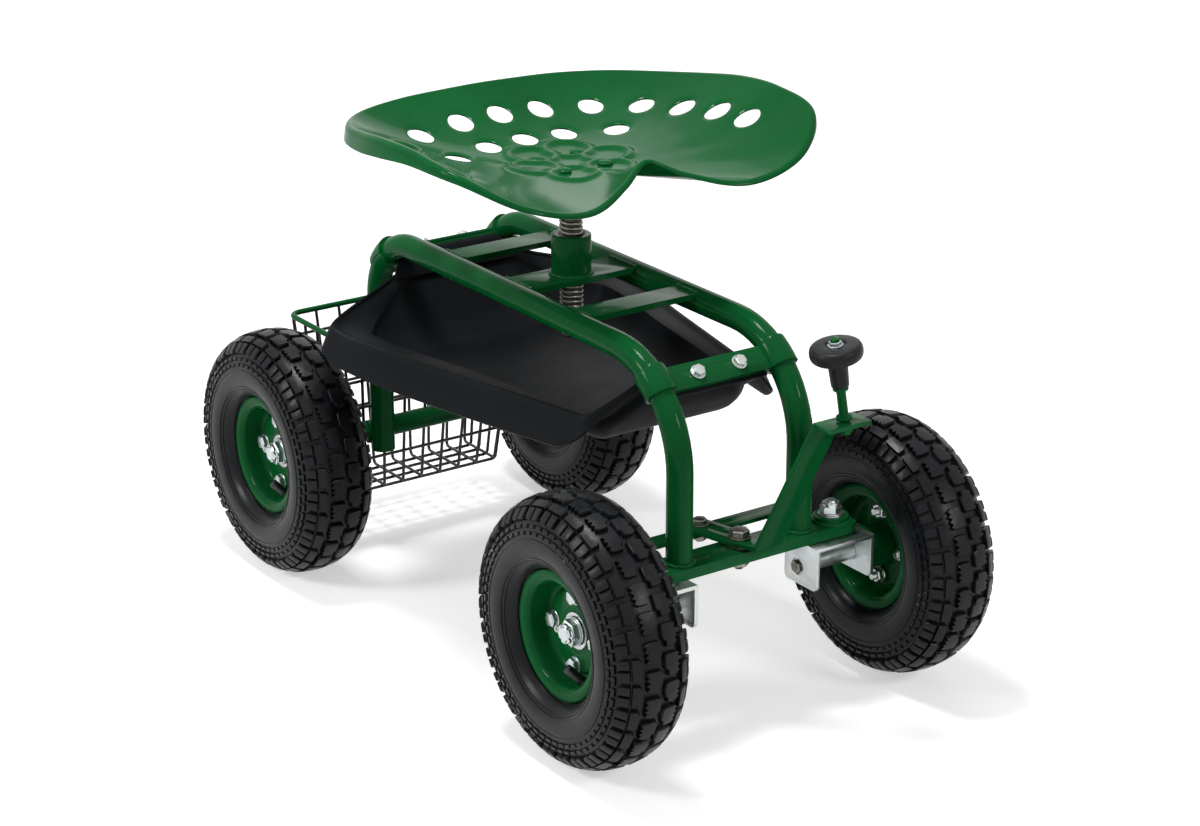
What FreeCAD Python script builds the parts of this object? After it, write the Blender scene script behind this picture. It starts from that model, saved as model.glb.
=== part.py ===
import FreeCAD
import Part
import math
import os

os.makedirs("parts", exist_ok=True)

# Driving sizes in mm. Front is -Y, the sitter's right is -X, the ground is z = 0.
TYRE_OD = 260.0
TYRE_WIDTH = 82.0
TYRE_WALL = 6.0
TUBE_WALL = 2.5
TREAD_DEPTH = 4.0
TREAD_SLOT = 5.6
TREAD_PITCHES = 30
TRACK = 360.0
WHEELBASE = 548.0
RAIL_OD = 25.4
RAIL_WALL = 1.6
RAIL_SPACING = 140.0
RAIL_TOP_Z = 354.0
FRONT_BEND = 100.0
REAR_BEND = 70.0
REAR_LEG_SETBACK = 14.0
AXLE_D = 16.0
RUN_CLEARANCE = 0.05
WELD_GAP = 0.2
BOLT_GAP = 0.2
BEAM_WIDTH = 35.0
BEAM_THICK = 11.0
KINGPIN_D = 12.0
KINGPIN_SPACING = 220.0
STEER_ARM = 48.0
STEER_SET = 14.0
POST_D = 24.0
POST_Y = 4.0
POST_LENGTH = 165.0
NUT_R = 20.0
POST_TOP_Z = 465.0
SEAT_SHEET = 3.5
SEAT_WALL_POWER = 2.6
SEAT_HOLE_D = 26.0
TRAY_WALL = 3.0
TRAY_RIM_Z = 289.5
TRAY_DEPTH = 37.5
STRAP_WIDTH = 25.0
STRAP_THICK = 3.0
CLAMP_BOLT_X = 24.0
FRONT_CLAMP_ANGLE = 52.0
REAR_CLAMP_ANGLE = 45.0
KNOB_D = 50.0
KNOB_LOW = 36.0
KNOB_HIGH = 78.0
KNOB_LEAN = 10.0
BASKET_WIRE = 3.0
BASKET_RIM_WIRE = 6.0
BASKET_WIDTH = 236.0
BASKET_DEPTH = 95.0
BASKET_HEIGHT = 187.0
BASKET_TAPER = 18.0
BASKET_PITCH = 30.0
M8_R = 4.0
M8_FLATS = 13.0
M8_HEAD = 5.3
M8_NUT = 6.5
KNOB_ROD_R = 4.5

# Rim of the seat, every 15 degrees from the front notch to the back: radius, rise above the pan centre.
SEAT_RIM = (
    (124.0, 32.0),
    (145.0, 17.0),
    (189.0, 4.0),
    (227.0, 16.0),
    (235.0, 44.0),
    (215.0, 51.0),
    (206.0, 50.0),
    (205.0, 44.5),
    (211.0, 40.0),
    (208.0, 40.0),
    (187.0, 43.0),
    (169.0, 44.5),
    (164.0, 45.0),
)
SEAT_STEP = 180.0 / (len(SEAT_RIM) - 1)

# Holes of the seat to each side of its back, outer row and inner row: angle, share of the way to the rim.
SEAT_HOLES = (
    (0.0, 0.77),
    (21.0, 0.76),
    (42.0, 0.74),
    (61.0, 0.75),
    (79.0, 0.77),
    (95.5, 0.79),
    (109.0, 0.81),
    (0.0, 0.49),
    (30.0, 0.48),
    (59.0, 0.51),
)

# Sizes that follow from the ones above.
AXLE_Z = TYRE_OD / 2.0
FRONT_Y = -WHEELBASE / 2.0
REAR_Y = WHEELBASE / 2.0
WHEEL_X = TRACK / 2.0
RAIL_X = RAIL_SPACING / 2.0
RAIL_R = RAIL_OD / 2.0
REAR_LEG_Y = REAR_Y - REAR_LEG_SETBACK
FRONT_BEND_Y = FRONT_Y + FRONT_BEND
FRONT_BEND_Z = RAIL_TOP_Z - FRONT_BEND
REAR_BEND_Y = REAR_LEG_Y - REAR_BEND
REAR_BEND_Z = RAIL_TOP_Z - REAR_BEND
KINGPIN_X = KINGPIN_SPACING / 2.0
SEAT_Z = POST_TOP_Z + 11.0
HUB_INNER = 38.0
HUB_OUTER = 6.0
HUB_R = 22.0
BEARING_R = 17.5
BEARING_WIDTH = 11.0
RIM_SHEET = 2.5
RIM_SEAT_R = 50.5
RIM_EDGE_R = 62.0
RIM_HALF = 24.0
RIM_BOLT_RADIUS = 34.0
RIM_BOLTS = 4
WEB_BOTTOM = AXLE_Z + 23.0
WEB_THICK = 4.0
WEB_TOP = WEB_BOTTOM + WEB_THICK
BEAM_BOTTOM = WEB_TOP + 1.0
BEAM_TOP = BEAM_BOTTOM + BEAM_THICK
BOSS_HEIGHT = 6.0
LEVER_BOTTOM = BEAM_TOP + 4.0
LEVER_THICK = 4.0
LEVER_TOP = LEVER_BOTTOM + LEVER_THICK
LEVER_WIDTH = 29.0
TIE_THICK = 4.0
TIE_TOP = LEVER_BOTTOM - 0.4
TIE_BOTTOM = TIE_TOP - TIE_THICK
ARM_TOP = TIE_BOTTOM - 0.4
ARM_BOTTOM = ARM_TOP - WEB_THICK
TIE_BOLT_D = 2.0 * M8_R
LEVER_BOLT_D = 10.0
HUB_INNER_X = WHEEL_X - HUB_INNER
HUB_OUTER_X = WHEEL_X + HUB_OUTER
LUG_FRONT = 30.0
LUG_BACK = 19.0
LUG_DROP = 17.0
LUG_CORNER = 6.0
LUG_OUTER_X = HUB_INNER_X - 2.0
LUG_INNER_X = LUG_OUTER_X - 70.0
ARM_DX = -STEER_ARM * math.sin(math.radians(STEER_SET))
ARM_DY = STEER_ARM * math.cos(math.radians(STEER_SET))


def vec(x, y, z):
    return FreeCAD.Vector(x, y, z)


UP = vec(0, 0, 1)
ACROSS = vec(1, 0, 0)


def box(x0, x1, y0, y1, z0, z1):
    return Part.makeBox(x1 - x0, y1 - y0, z1 - z0, vec(x0, y0, z0))


def cylinder(radius, start, end):
    axis = end - start
    return Part.makeCylinder(radius, axis.Length, start, axis)


def ring(outer, inner, start, end):
    along = (end - start).normalize()
    hole = cylinder(inner, start - along, end + along)
    return cylinder(outer, start, end).cut(hole)


def hexagon(flats, start, end):
    axis = end - start
    side = axis.cross(UP)
    if side.Length < 0.001 * axis.Length:
        side = vec(1, 0, 0)
    side = side.normalize()
    other = axis.cross(side).normalize()
    reach = flats / math.sqrt(3.0)
    corners = []
    for k in range(7):
        turn = math.radians(60.0 * k)
        corners.append(start + side * (reach * math.cos(turn)) + other * (reach * math.sin(turn)))
    return Part.Face(Part.makePolygon(corners)).extrude(axis)


def hex_nut(flats, bore_r, start, end):
    along = (end - start).normalize()
    return hexagon(flats, start, end).cut(cylinder(bore_r, start - along, end + along))


def hex_bolt(shank_r, flats, head_top, seat, end):
    return hexagon(flats, head_top, seat).fuse(cylinder(shank_r, seat, end)).removeSplitter()


def rounded_path(points, radii):
    edges = []
    last = points[0]
    for k in range(1, len(points) - 1):
        corner = points[k]
        back = (points[k - 1] - corner).normalize()
        ahead = (points[k + 1] - corner).normalize()
        half = back.getAngle(ahead) / 2.0
        reach = radii[k - 1] / math.tan(half)
        first = corner + back * reach
        second = corner + ahead * reach
        middle = (back + ahead).normalize()
        centre = corner + middle * (radii[k - 1] / math.sin(half))
        top = centre - middle * radii[k - 1]
        if (first - last).Length > 0.001:
            edges.append(Part.makeLine(last, first))
        edges.append(arc(first, top, second))
        last = second
    edges.append(Part.makeLine(last, points[-1]))
    return Part.Wire(edges)


def rod_along(points, radii, radius):
    path = rounded_path(points, radii)
    start = (points[1] - points[0]).normalize()
    section = Part.Wire(Part.makeCircle(radius, points[0], start))
    return path.makePipeShell([section], True, False)


def tube_along(points, radii, outer, inner):
    return rod_along(points, radii, outer).cut(rod_along(points, radii, inner))


def arc(start, middle, end):
    return Part.Arc(start, middle, end).toShape()


def revolved(edges, axis):
    face = Part.Face(Part.Wire(Part.sortEdges(edges)[0]))
    return face.revolve(vec(0, 0, 0), axis, 360.0)


def lines(points):
    edges = []
    for k in range(len(points) - 1):
        edges.append(Part.makeLine(points[k], points[k + 1]))
    return edges


def write(name, shape):
    shape.exportStep("parts/" + name + ".step")


# Rails: front leg on the beam, top run, rear leg notched for the axle tube.
AXLE_TUBE_R = 11.0


def make_rail(x):
    points = []
    points.append(vec(x, FRONT_Y, BEAM_TOP))
    points.append(vec(x, FRONT_Y, RAIL_TOP_Z))
    points.append(vec(x, REAR_LEG_Y, RAIL_TOP_Z))
    points.append(vec(x, REAR_LEG_Y, AXLE_Z - 18.0))
    rail = tube_along(points, (FRONT_BEND, REAR_BEND), RAIL_R, RAIL_R - RAIL_WALL)
    start = vec(x - 2.0 * RAIL_OD, REAR_Y, AXLE_Z)
    end = vec(x + 2.0 * RAIL_OD, REAR_Y, AXLE_Z)
    return rail.cut(cylinder(AXLE_TUBE_R + WELD_GAP, start, end))


# Flat bars between the rails, coped to the tubes.
BAR_BOTTOM = RAIL_TOP_Z + 4.0
BAR_TOP = BAR_BOTTOM + 6.0


def make_bar(y, width):
    bar = box(-RAIL_X, RAIL_X, y - width / 2.0, y + width / 2.0, BAR_BOTTOM, BAR_TOP)
    for side in (-1.0, 1.0):
        start = vec(side * RAIL_X, y - width, RAIL_TOP_Z)
        end = vec(side * RAIL_X, y + width, RAIL_TOP_Z)
        bar = bar.cut(cylinder(RAIL_R + WELD_GAP, start, end))
    return bar


def make_front_beam():
    end_x = KINGPIN_X + 20.0
    half = BEAM_WIDTH / 2.0
    beam = box(-end_x + 8.0, end_x - 8.0, FRONT_Y - half, FRONT_Y + half, BEAM_BOTTOM, BEAM_TOP)
    for side in (-1.0, 1.0):
        foot = vec(side * KINGPIN_X, FRONT_Y, BEAM_TOP)
        crown = foot + UP * BOSS_HEIGHT
        end_box = box(-8.0, 8.0, -half + 6.0, half - 6.0, BEAM_BOTTOM, BEAM_TOP)
        end_box.translate(vec(side * (end_x - 8.0), FRONT_Y, 0))
        beam = beam.fuse(end_box)
        for corner in (-1.0, 1.0):
            low = vec(side * (end_x - 6.0), FRONT_Y + corner * (half - 6.0), BEAM_BOTTOM)
            beam = beam.fuse(cylinder(6.0, low, low + UP * BEAM_THICK))
        beam = beam.fuse(cylinder(17.0, foot, crown))
    for side in (-1.0, 1.0):
        low = vec(side * KINGPIN_X, FRONT_Y, BEAM_BOTTOM - 1.0)
        beam = beam.cut(cylinder(KINGPIN_D / 2.0 + BOLT_GAP, low, low + UP * 40.0))
    low = vec(0, FRONT_Y, BEAM_BOTTOM - 1.0)
    beam = beam.cut(cylinder(LEVER_BOLT_D / 2.0 + BOLT_GAP, low, low + UP * 40.0))
    return beam.removeSplitter()


def make_kingpin(x):
    seat = vec(x, FRONT_Y, WEB_BOTTOM - 0.4)
    head = vec(x, FRONT_Y, WEB_BOTTOM - 7.0)
    end = vec(x, FRONT_Y, BEAM_TOP + BOSS_HEIGHT + 20.0)
    return hex_bolt(KINGPIN_D / 2.0, 19.0, head, seat, end)


def make_kingpin_nut(x):
    low = vec(x, FRONT_Y, BEAM_TOP + BOSS_HEIGHT)
    bore = KINGPIN_D / 2.0 + BOLT_GAP
    washer = ring(14.0, bore, low, low + UP * 2.5)
    nut = hex_nut(19.0, bore, low + UP * 2.5, low + UP * 13.0)
    return [washer, nut]


def make_lever_bolt():
    bore = LEVER_BOLT_D / 2.0 + BOLT_GAP
    foot = vec(0, FRONT_Y, BEAM_TOP)
    spacer = ring(12.0, bore, foot, foot + UP * (LEVER_BOTTOM - BEAM_TOP - 0.1))
    top = vec(0, FRONT_Y, LEVER_TOP + 0.3)
    washer = ring(11.0, bore, top, top + UP * 2.0)
    seat = top + UP * 2.0
    under = vec(0, FRONT_Y, BEAM_BOTTOM)
    bolt = hex_bolt(LEVER_BOLT_D / 2.0, 17.0, seat + UP * 6.4, seat, under - UP * 12.0)
    nut = hex_nut(17.0, bore, under - UP * 8.4, under)
    return [spacer, washer, bolt, nut]


# Strap clamps: each half is turned about the axis of the rail bend.
STRAP_SLIT = 0.4


def bend_point(place, x, radius):
    return vec(x, place["y"] + place["side"] * radius, place["z"])


def bend_axis(place):
    return vec(place["side"], 0, 0)


def turned(shape, place, angle):
    shape.rotate(vec(0, place["y"], place["z"]), bend_axis(place), angle)
    return shape


def clamp_place(y, z, side, bend, angle):
    return {"y": y, "z": z, "side": side, "bend": bend, "at": angle}


FRONT_PLACE = clamp_place(FRONT_BEND_Y, FRONT_BEND_Z, -1.0, FRONT_BEND, FRONT_CLAMP_ANGLE)
REAR_PLACE = clamp_place(REAR_BEND_Y, REAR_BEND_Z, 1.0, REAR_BEND, REAR_CLAMP_ANGLE)


def strap_half(place, way):
    inner = RAIL_R + WELD_GAP
    outer = inner + STRAP_THICK
    flat = STRAP_SLIT + STRAP_THICK
    near = math.sqrt(inner ** 2 - STRAP_SLIT ** 2)
    far = math.sqrt(outer ** 2 - STRAP_SLIT ** 2)
    flank = math.sqrt(outer ** 2 - flat ** 2)

    def at(x, rise):
        return bend_point(place, x, place["bend"] + way * rise)

    edges = []
    edges.append(arc(at(RAIL_X + far, STRAP_SLIT), at(RAIL_X, outer), at(RAIL_X - flank, flat)))
    edges.append(Part.makeLine(at(RAIL_X - flank, flat), at(flank - RAIL_X, flat)))
    edges.append(arc(at(flank - RAIL_X, flat), at(-RAIL_X, outer), at(-RAIL_X - far, STRAP_SLIT)))
    edges.append(Part.makeLine(at(-RAIL_X - far, STRAP_SLIT), at(-RAIL_X - near, STRAP_SLIT)))
    edges.append(arc(at(-RAIL_X - near, STRAP_SLIT), at(-RAIL_X, inner), at(near - RAIL_X, STRAP_SLIT)))
    edges.append(Part.makeLine(at(near - RAIL_X, STRAP_SLIT), at(RAIL_X - near, STRAP_SLIT)))
    edges.append(arc(at(RAIL_X - near, STRAP_SLIT), at(RAIL_X, inner), at(RAIL_X + near, STRAP_SLIT)))
    edges.append(Part.makeLine(at(RAIL_X + near, STRAP_SLIT), at(RAIL_X + far, STRAP_SLIT)))
    face = Part.Face(Part.Wire(edges))
    sweep = math.degrees(STRAP_WIDTH / place["bend"])
    strap = face.revolve(vec(0, place["y"], place["z"]), bend_axis(place), sweep)
    strap = turned(strap, place, place["at"] - sweep / 2.0)
    for x in (-CLAMP_BOLT_X, CLAMP_BOLT_X):
        strap = strap.cut(clamp_hole(place, x, M8_R + BOLT_GAP))
    return strap


def clamp_hole(place, x, radius):
    start = bend_point(place, x, place["bend"] - 25.0)
    end = bend_point(place, x, place["bend"] + 25.0)
    return turned(cylinder(radius, start, end), place, place["at"])


TAB_TOP_DROP = STRAP_SLIT + STRAP_THICK + 0.3
TAB_BOTTOM_DROP = TAB_TOP_DROP + TRAY_WALL


def make_clamp_bolt(place, x):
    seat = place["bend"] + STRAP_SLIT + STRAP_THICK + 0.1
    grip = place["bend"] - TAB_BOTTOM_DROP - 0.9
    head = hexagon(M8_FLATS, bend_point(place, x, seat + M8_HEAD), bend_point(place, x, seat))
    shank = cylinder(M8_R, bend_point(place, x, seat), bend_point(place, x, grip - 9.0))
    bolt = head.fuse(shank).removeSplitter()
    nut = hex_nut(M8_FLATS, M8_R + 0.1, bend_point(place, x, grip), bend_point(place, x, grip - M8_NUT))
    return [turned(bolt, place, place["at"]), turned(nut, place, place["at"])]


# Tool tray: one lofted pan with a rim and skirt, and a tongue to each strap.
TRAY_FLOOR_Z = TRAY_RIM_Z - TRAY_DEPTH
TRAY_FRONT_Y = FRONT_BEND_Y + 3.0
TRAY_REAR_Y = REAR_BEND_Y - 20.0
TRAY_FRONT_HALF = 104.0
TRAY_REAR_HALF = 176.0
TRAY_BATTER = 22.0
TRAY_LIP_HALF = 56.0
TRAY_LIP_FLOOR = 46.0
TRAY_LIP_OUT = 8.0
TRAY_LIP_DROP = 12.0
TRAY_LIP_DEPTH = 14.0
TRAY_LIP_CORNER = 6.0
TRAY_FRONT_RISE = 36.5
TRAY_REAR_RISE = 33.0
TRAY_SKIRT_OUT = 13.5
TRAY_SKIRT_DROP = 26.5
TRAY_CORNER = 30.0
TONGUE_HALF = 48.0
TONGUE_ROOT_HALF = 44.0
TONGUE_ROOT = 5.0


def tray_half(y):
    share = (y - TRAY_FRONT_Y) / (TRAY_REAR_Y - TRAY_FRONT_Y)
    return TRAY_FRONT_HALF + (TRAY_REAR_HALF - TRAY_FRONT_HALF) * share


def tray_section(y, rim_x, rim_z, out, drop, floor_x, floor_z, corner, sheet):
    wall = TRAY_WALL
    half = []
    half.append((floor_x - corner, floor_z))
    half.append((floor_x - 0.29 * corner, floor_z + 0.29 * corner))
    half.append((floor_x, floor_z + corner))
    half.append((rim_x, rim_z - wall))
    half.append((rim_x + out - wall, rim_z - drop))
    half.append((rim_x + out, rim_z - drop))
    half.append((rim_x + wall, rim_z))
    half.append((rim_x - wall, rim_z))
    half.append((floor_x - wall, floor_z + corner + 0.4 * sheet))
    half.append((floor_x - 0.29 * corner - 0.7 * wall, floor_z + 0.29 * corner + 0.7 * sheet))
    half.append((floor_x - corner - 0.4 * wall, floor_z + sheet))
    points = [vec(x, y, z) for x, z in half]
    points += [vec(-x, y, z) for x, z in reversed(half)]
    points.append(points[0])
    return Part.makePolygon(points)


def tongue_section(place, angle, half):
    top = place["bend"] - TAB_TOP_DROP
    low = place["bend"] - TAB_BOTTOM_DROP
    points = []
    points.append(bend_point(place, -half, low))
    points.append(bend_point(place, half, low))
    points.append(bend_point(place, half, top))
    points.append(bend_point(place, -half, top))
    points.append(points[0])
    return turned(Part.makePolygon(points), place, angle)


def level_section(y, half, low, top):
    points = []
    points.append(vec(-half, y, low))
    points.append(vec(half, y, low))
    points.append(vec(half, y, top))
    points.append(vec(-half, y, top))
    points.append(points[0])
    return Part.makePolygon(points)


def tray_lip(y, rise, sheet):
    rim = TRAY_RIM_Z + rise
    floor = rim - TRAY_LIP_DEPTH
    return tray_section(
        y, TRAY_LIP_HALF, rim, TRAY_LIP_OUT, TRAY_LIP_DROP, TRAY_LIP_FLOOR, floor, TRAY_LIP_CORNER, sheet)


def tray_bay(y, half, rise, batter, floor, corner, sheet):
    rim = TRAY_RIM_Z + rise
    return tray_section(
        y, half, rim, TRAY_SKIRT_OUT, TRAY_SKIRT_DROP, half - batter, floor, corner, sheet)


def tongue(place, root_y, root_z, reach):
    sections = [level_section(root_y, TONGUE_ROOT_HALF, root_z, root_z + TONGUE_ROOT)]
    for turn in (reach, 0.0, -0.9 * reach):
        sections.append(tongue_section(place, place["at"] + turn, TONGUE_HALF))
    return Part.makeLoft(sections, True, True)


def make_tray():
    rim = TRAY_RIM_Z
    floor = TRAY_FLOOR_Z
    wall = TRAY_WALL
    thick = wall + 1.0
    front_lip = TRAY_FRONT_Y - 29.0
    rear_lip = TRAY_REAR_Y + 45.0
    step = TRAY_FRONT_Y + 21.0
    bend = TRAY_REAR_Y - 8.0
    rise = TRAY_REAR_Y + 6.0
    middle = 0.5 * (step + bend)
    half = tray_half(bend)
    shelf = rim - 0.47 * TRAY_DEPTH
    heel = 0.27 * TRAY_CORNER
    sill = rim - 0.65 * TRAY_DEPTH
    sections = []
    sections.append(tray_lip(front_lip, TRAY_FRONT_RISE, thick))
    sections.append(tray_bay(TRAY_FRONT_Y, TRAY_FRONT_HALF, 0.0, TRAY_BATTER, shelf, heel, thick))
    sections.append(tray_bay(step, tray_half(step), 0.0, 0.7 * TRAY_BATTER, floor, 0.8 * TRAY_CORNER, wall))
    sections.append(tray_bay(middle, tray_half(middle), 0.0, TRAY_BATTER, floor, TRAY_CORNER, wall))
    sections.append(tray_bay(bend, half, 0.0, 1.2 * TRAY_BATTER, floor, TRAY_CORNER, wall))
    sections.append(tray_bay(rise, half, 4.0, 2.1 * TRAY_BATTER, sill, 0.5 * TRAY_CORNER, thick))
    sections.append(tray_lip(rear_lip, TRAY_REAR_RISE, thick))
    pan = Part.makeLoft(sections, True, True)
    root = TRAY_LIP_DEPTH + 2.5
    front_tongue = tongue(FRONT_PLACE, front_lip + 3.0, rim + TRAY_FRONT_RISE - root, 10.0)
    rear_tongue = tongue(REAR_PLACE, rear_lip - 3.0, rim + TRAY_REAR_RISE - root, 12.0)
    tray = pan.fuse([front_tongue, rear_tongue])
    for place in (FRONT_PLACE, REAR_PLACE):
        for x in (-CLAMP_BOLT_X, CLAMP_BOLT_X):
            tray = tray.cut(clamp_hole(place, x, M8_R + BOLT_GAP))
    return tray


# Rear axle.
def make_rear_axle_tube():
    end = HUB_INNER_X - 3.0
    return ring(AXLE_TUBE_R, AXLE_D / 2.0 + BOLT_GAP, vec(-end, REAR_Y, AXLE_Z), vec(end, REAR_Y, AXLE_Z))


def make_axle_nut(side, y):
    bore = AXLE_D / 2.0 + BOLT_GAP
    start = vec(side * (HUB_OUTER_X + 0.4), y, AXLE_Z)
    along = vec(side, 0, 0)
    washer = ring(14.0, bore, start, start + along * 2.0)
    nut = hex_nut(24.0, bore, start + along * 2.0, start + along * 12.0)
    return [washer, nut]


AXLE_END_X = HUB_OUTER_X + 13.0

# Basket behind the rear legs.
BASKET_TOP = REAR_BEND_Z - 42.0
BASKET_FRONT_Y = REAR_LEG_Y + RAIL_R + WELD_GAP + BASKET_RIM_WIRE / 2.0
BASKET_REAR_Y = BASKET_FRONT_Y + BASKET_DEPTH
BASKET_BOTTOM = BASKET_TOP - BASKET_HEIGHT
BASKET_HALF = BASKET_WIDTH / 2.0
BASKET_LOW_HALF = BASKET_HALF - BASKET_TAPER
BASKET_LOW_FRONT = BASKET_FRONT_Y + AXLE_TUBE_R * 2.0
BASKET_LOW_REAR = BASKET_REAR_Y - BASKET_TAPER * 0.6
WIRE_BITE = 0.8


def make_basket_rim():
    corner = 14.0
    points = []
    points.append(vec(0.1, BASKET_REAR_Y, BASKET_TOP))
    points.append(vec(BASKET_HALF, BASKET_REAR_Y, BASKET_TOP))
    points.append(vec(BASKET_HALF, BASKET_FRONT_Y, BASKET_TOP))
    points.append(vec(-BASKET_HALF, BASKET_FRONT_Y, BASKET_TOP))
    points.append(vec(-BASKET_HALF, BASKET_REAR_Y, BASKET_TOP))
    points.append(vec(-0.1, BASKET_REAR_Y, BASKET_TOP))
    return rod_along(points, (corner, corner, corner, corner), BASKET_RIM_WIRE / 2.0)


# One flat grille between four corners, its cross wires laid on the outer side.
def wire_panel(high_start, high_end, low_start, low_end, outward):
    radius = BASKET_WIRE / 2.0
    offset = outward * (BASKET_WIRE - WIRE_BITE)
    bars = max(2, int(round((high_end - high_start).Length / BASKET_PITCH)))
    rows = max(2, int(round((low_start - high_start).Length / BASKET_PITCH)))
    wires = []
    for k in range(bars + 1):
        share = k / bars
        high = high_start + (high_end - high_start) * share
        low = low_start + (low_end - low_start) * share
        wires.append(cylinder(radius, high, low))
    for k in range(1, rows + 1):
        share = (k - 0.3) / rows
        start = high_start + (low_start - high_start) * share + offset
        end = high_end + (low_end - high_end) * share + offset
        along = (end - start).normalize() * radius
        wires.append(cylinder(radius, start - along, end + along))
    return wires[0].fuse(wires[1:])


def make_basket_wires():
    inset = BASKET_WIRE + WIRE_BITE
    top = BASKET_TOP - BASKET_RIM_WIRE / 2.0 - 0.1 - BASKET_WIRE * 0.1
    low = BASKET_BOTTOM
    floor = BASKET_BOTTOM - BASKET_WIRE / 2.0 - 0.4
    wide = BASKET_HALF - inset
    low_wide = BASKET_LOW_HALF - inset
    front = BASKET_FRONT_Y
    rear = BASKET_REAR_Y
    low_front = BASKET_LOW_FRONT
    low_rear = BASKET_LOW_REAR
    panels = []
    panels.append(wire_panel(
        vec(-wide, front, top), vec(wide, front, top),
        vec(-low_wide, low_front, low), vec(low_wide, low_front, low), vec(0, -1, 0)))
    panels.append(wire_panel(
        vec(-wide, rear, top), vec(wide, rear, top),
        vec(-low_wide, low_rear, low), vec(low_wide, low_rear, low), vec(0, 1, 0)))
    for side in (-1.0, 1.0):
        x = side * BASKET_HALF
        low_x = side * BASKET_LOW_HALF
        panels.append(wire_panel(
            vec(x, front + inset, top), vec(x, rear - inset, top),
            vec(low_x, low_front + inset, low), vec(low_x, low_rear - inset, low), vec(side, 0, 0)))
    panels.append(wire_panel(
        vec(-BASKET_LOW_HALF, low_front, floor), vec(BASKET_LOW_HALF, low_front, floor),
        vec(-BASKET_LOW_HALF, low_rear, floor), vec(BASKET_LOW_HALF, low_rear, floor), vec(0, 0, -1)))
    return panels


# Seat post, socket and pan.
def seat_rim(angle):
    turn = abs((angle + 180.0) % 360.0 - 180.0)
    last = len(SEAT_RIM) - 1
    k = min(int(turn / SEAT_STEP), last - 1)
    t = turn / SEAT_STEP - k
    before = SEAT_RIM[abs(k - 1)]
    first = SEAT_RIM[k]
    second = SEAT_RIM[k + 1]
    after = SEAT_RIM[last - abs(last - (k + 2))]
    found = []
    for item in (0, 1):
        a = before[item]
        b = first[item]
        c = second[item]
        d = after[item]
        slope = c - a
        bend = 2.0 * a - 5.0 * b + 4.0 * c - d
        twist = 3.0 * b - a - 3.0 * c + d
        found.append(0.5 * (2.0 * b + slope * t + bend * t ** 2 + twist * t ** 3))
    return found


def seat_angle(x, y):
    return math.degrees(math.atan2(x, -(y - POST_Y)))


def seat_height(x, y):
    radius, rise = seat_rim(seat_angle(x, y))
    share = min(math.hypot(x, y - POST_Y) / radius, 1.2)
    return SEAT_Z + rise * share ** SEAT_WALL_POWER


def seat_place(angle, share):
    radius = seat_rim(angle)[0] * share
    turn = math.radians(angle)
    return radius * math.sin(turn), POST_Y - radius * math.cos(turn)


def seat_holes():
    holes = []
    for angle, share in SEAT_HOLES:
        holes.append(seat_place(180.0 - angle, share))
        if angle > 0.0:
            holes.append(seat_place(180.0 + angle, share))
    return holes


SEAT_BOLT_RADIUS = 34.0
SEAT_CUT = 1.2 * max(item[1] for item in SEAT_RIM)


def ring_places(count, radius, first):
    places = []
    for k in range(count):
        turn = math.radians(first + 360.0 * k / count)
        places.append((radius * math.cos(turn), radius * math.sin(turn)))
    return places


def make_seat_pan():
    reach = max(item[0] for item in SEAT_RIM) * 1.02
    count = 40
    grid = []
    for i in range(count + 1):
        row = []
        for j in range(count + 1):
            x = reach * (2.0 * i / count - 1.0)
            y = POST_Y + reach * (2.0 * j / count - 1.0)
            row.append(vec(x, y, seat_height(x, y)))
        grid.append(row)
    surface = Part.BSplineSurface()
    surface.interpolate(grid)
    sheet = surface.toShape().extrude(vec(0, 0, -SEAT_SHEET))
    outline = []
    for k in range(72):
        x, y = seat_place(5.0 * k, 1.0)
        outline.append(vec(x, y, SEAT_Z - SEAT_CUT))
    edge = Part.BSplineCurve()
    edge.interpolate(outline, PeriodicFlag=True)
    prism = Part.Face(Part.Wire(edge.toShape())).extrude(UP * (3.0 * SEAT_CUT))
    pan = sheet.common(prism)
    cutters = []
    for x, y in seat_holes():
        low = vec(x, y, SEAT_Z - SEAT_CUT)
        cutters.append(cylinder(SEAT_HOLE_D / 2.0, low, low + UP * (3.0 * SEAT_CUT)))
    for x, y in ring_places(4, SEAT_BOLT_RADIUS, 45.0):
        low = vec(x, y + POST_Y, SEAT_Z - SEAT_CUT)
        cutters.append(cylinder(M8_R + BOLT_GAP, low, low + UP * (3.0 * SEAT_CUT)))
    return pan.cut(cutters)


POST_FREE = POST_TOP_Z - BAR_TOP
NUT_HEIGHT = 0.4 * POST_FREE
SOCKET_GRIP = 0.29 * POST_FREE
LOCK_REACH = 40.0
FLANGE_TOP = SEAT_Z - SEAT_SHEET - 0.2
FLANGE_BOTTOM = FLANGE_TOP - 6.0
SOCKET_BOTTOM = POST_TOP_Z - SOCKET_GRIP
LOCK_Z = SOCKET_BOTTOM + 0.48 * SOCKET_GRIP


def make_socket():
    low = vec(0, POST_Y, SOCKET_BOTTOM)
    socket = cylinder(18.0, low, vec(0, POST_Y, FLANGE_BOTTOM + 1.0))
    socket = socket.fuse(cylinder(46.0, vec(0, POST_Y, FLANGE_BOTTOM), vec(0, POST_Y, FLANGE_TOP)))
    bore = cylinder(POST_D / 2.0 + RUN_CLEARANCE, low - UP, vec(0, POST_Y, POST_TOP_Z + 0.1))
    socket = socket.cut(bore)
    for x, y in ring_places(4, SEAT_BOLT_RADIUS, 45.0):
        foot = vec(x, y + POST_Y, FLANGE_BOTTOM - 1.0)
        socket = socket.cut(cylinder(M8_R + BOLT_GAP, foot, foot + UP * 20.0))
    lock = cylinder(M8_R + BOLT_GAP, vec(0, POST_Y, LOCK_Z), vec(0, POST_Y - LOCK_REACH, LOCK_Z))
    return socket.cut(lock)


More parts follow.
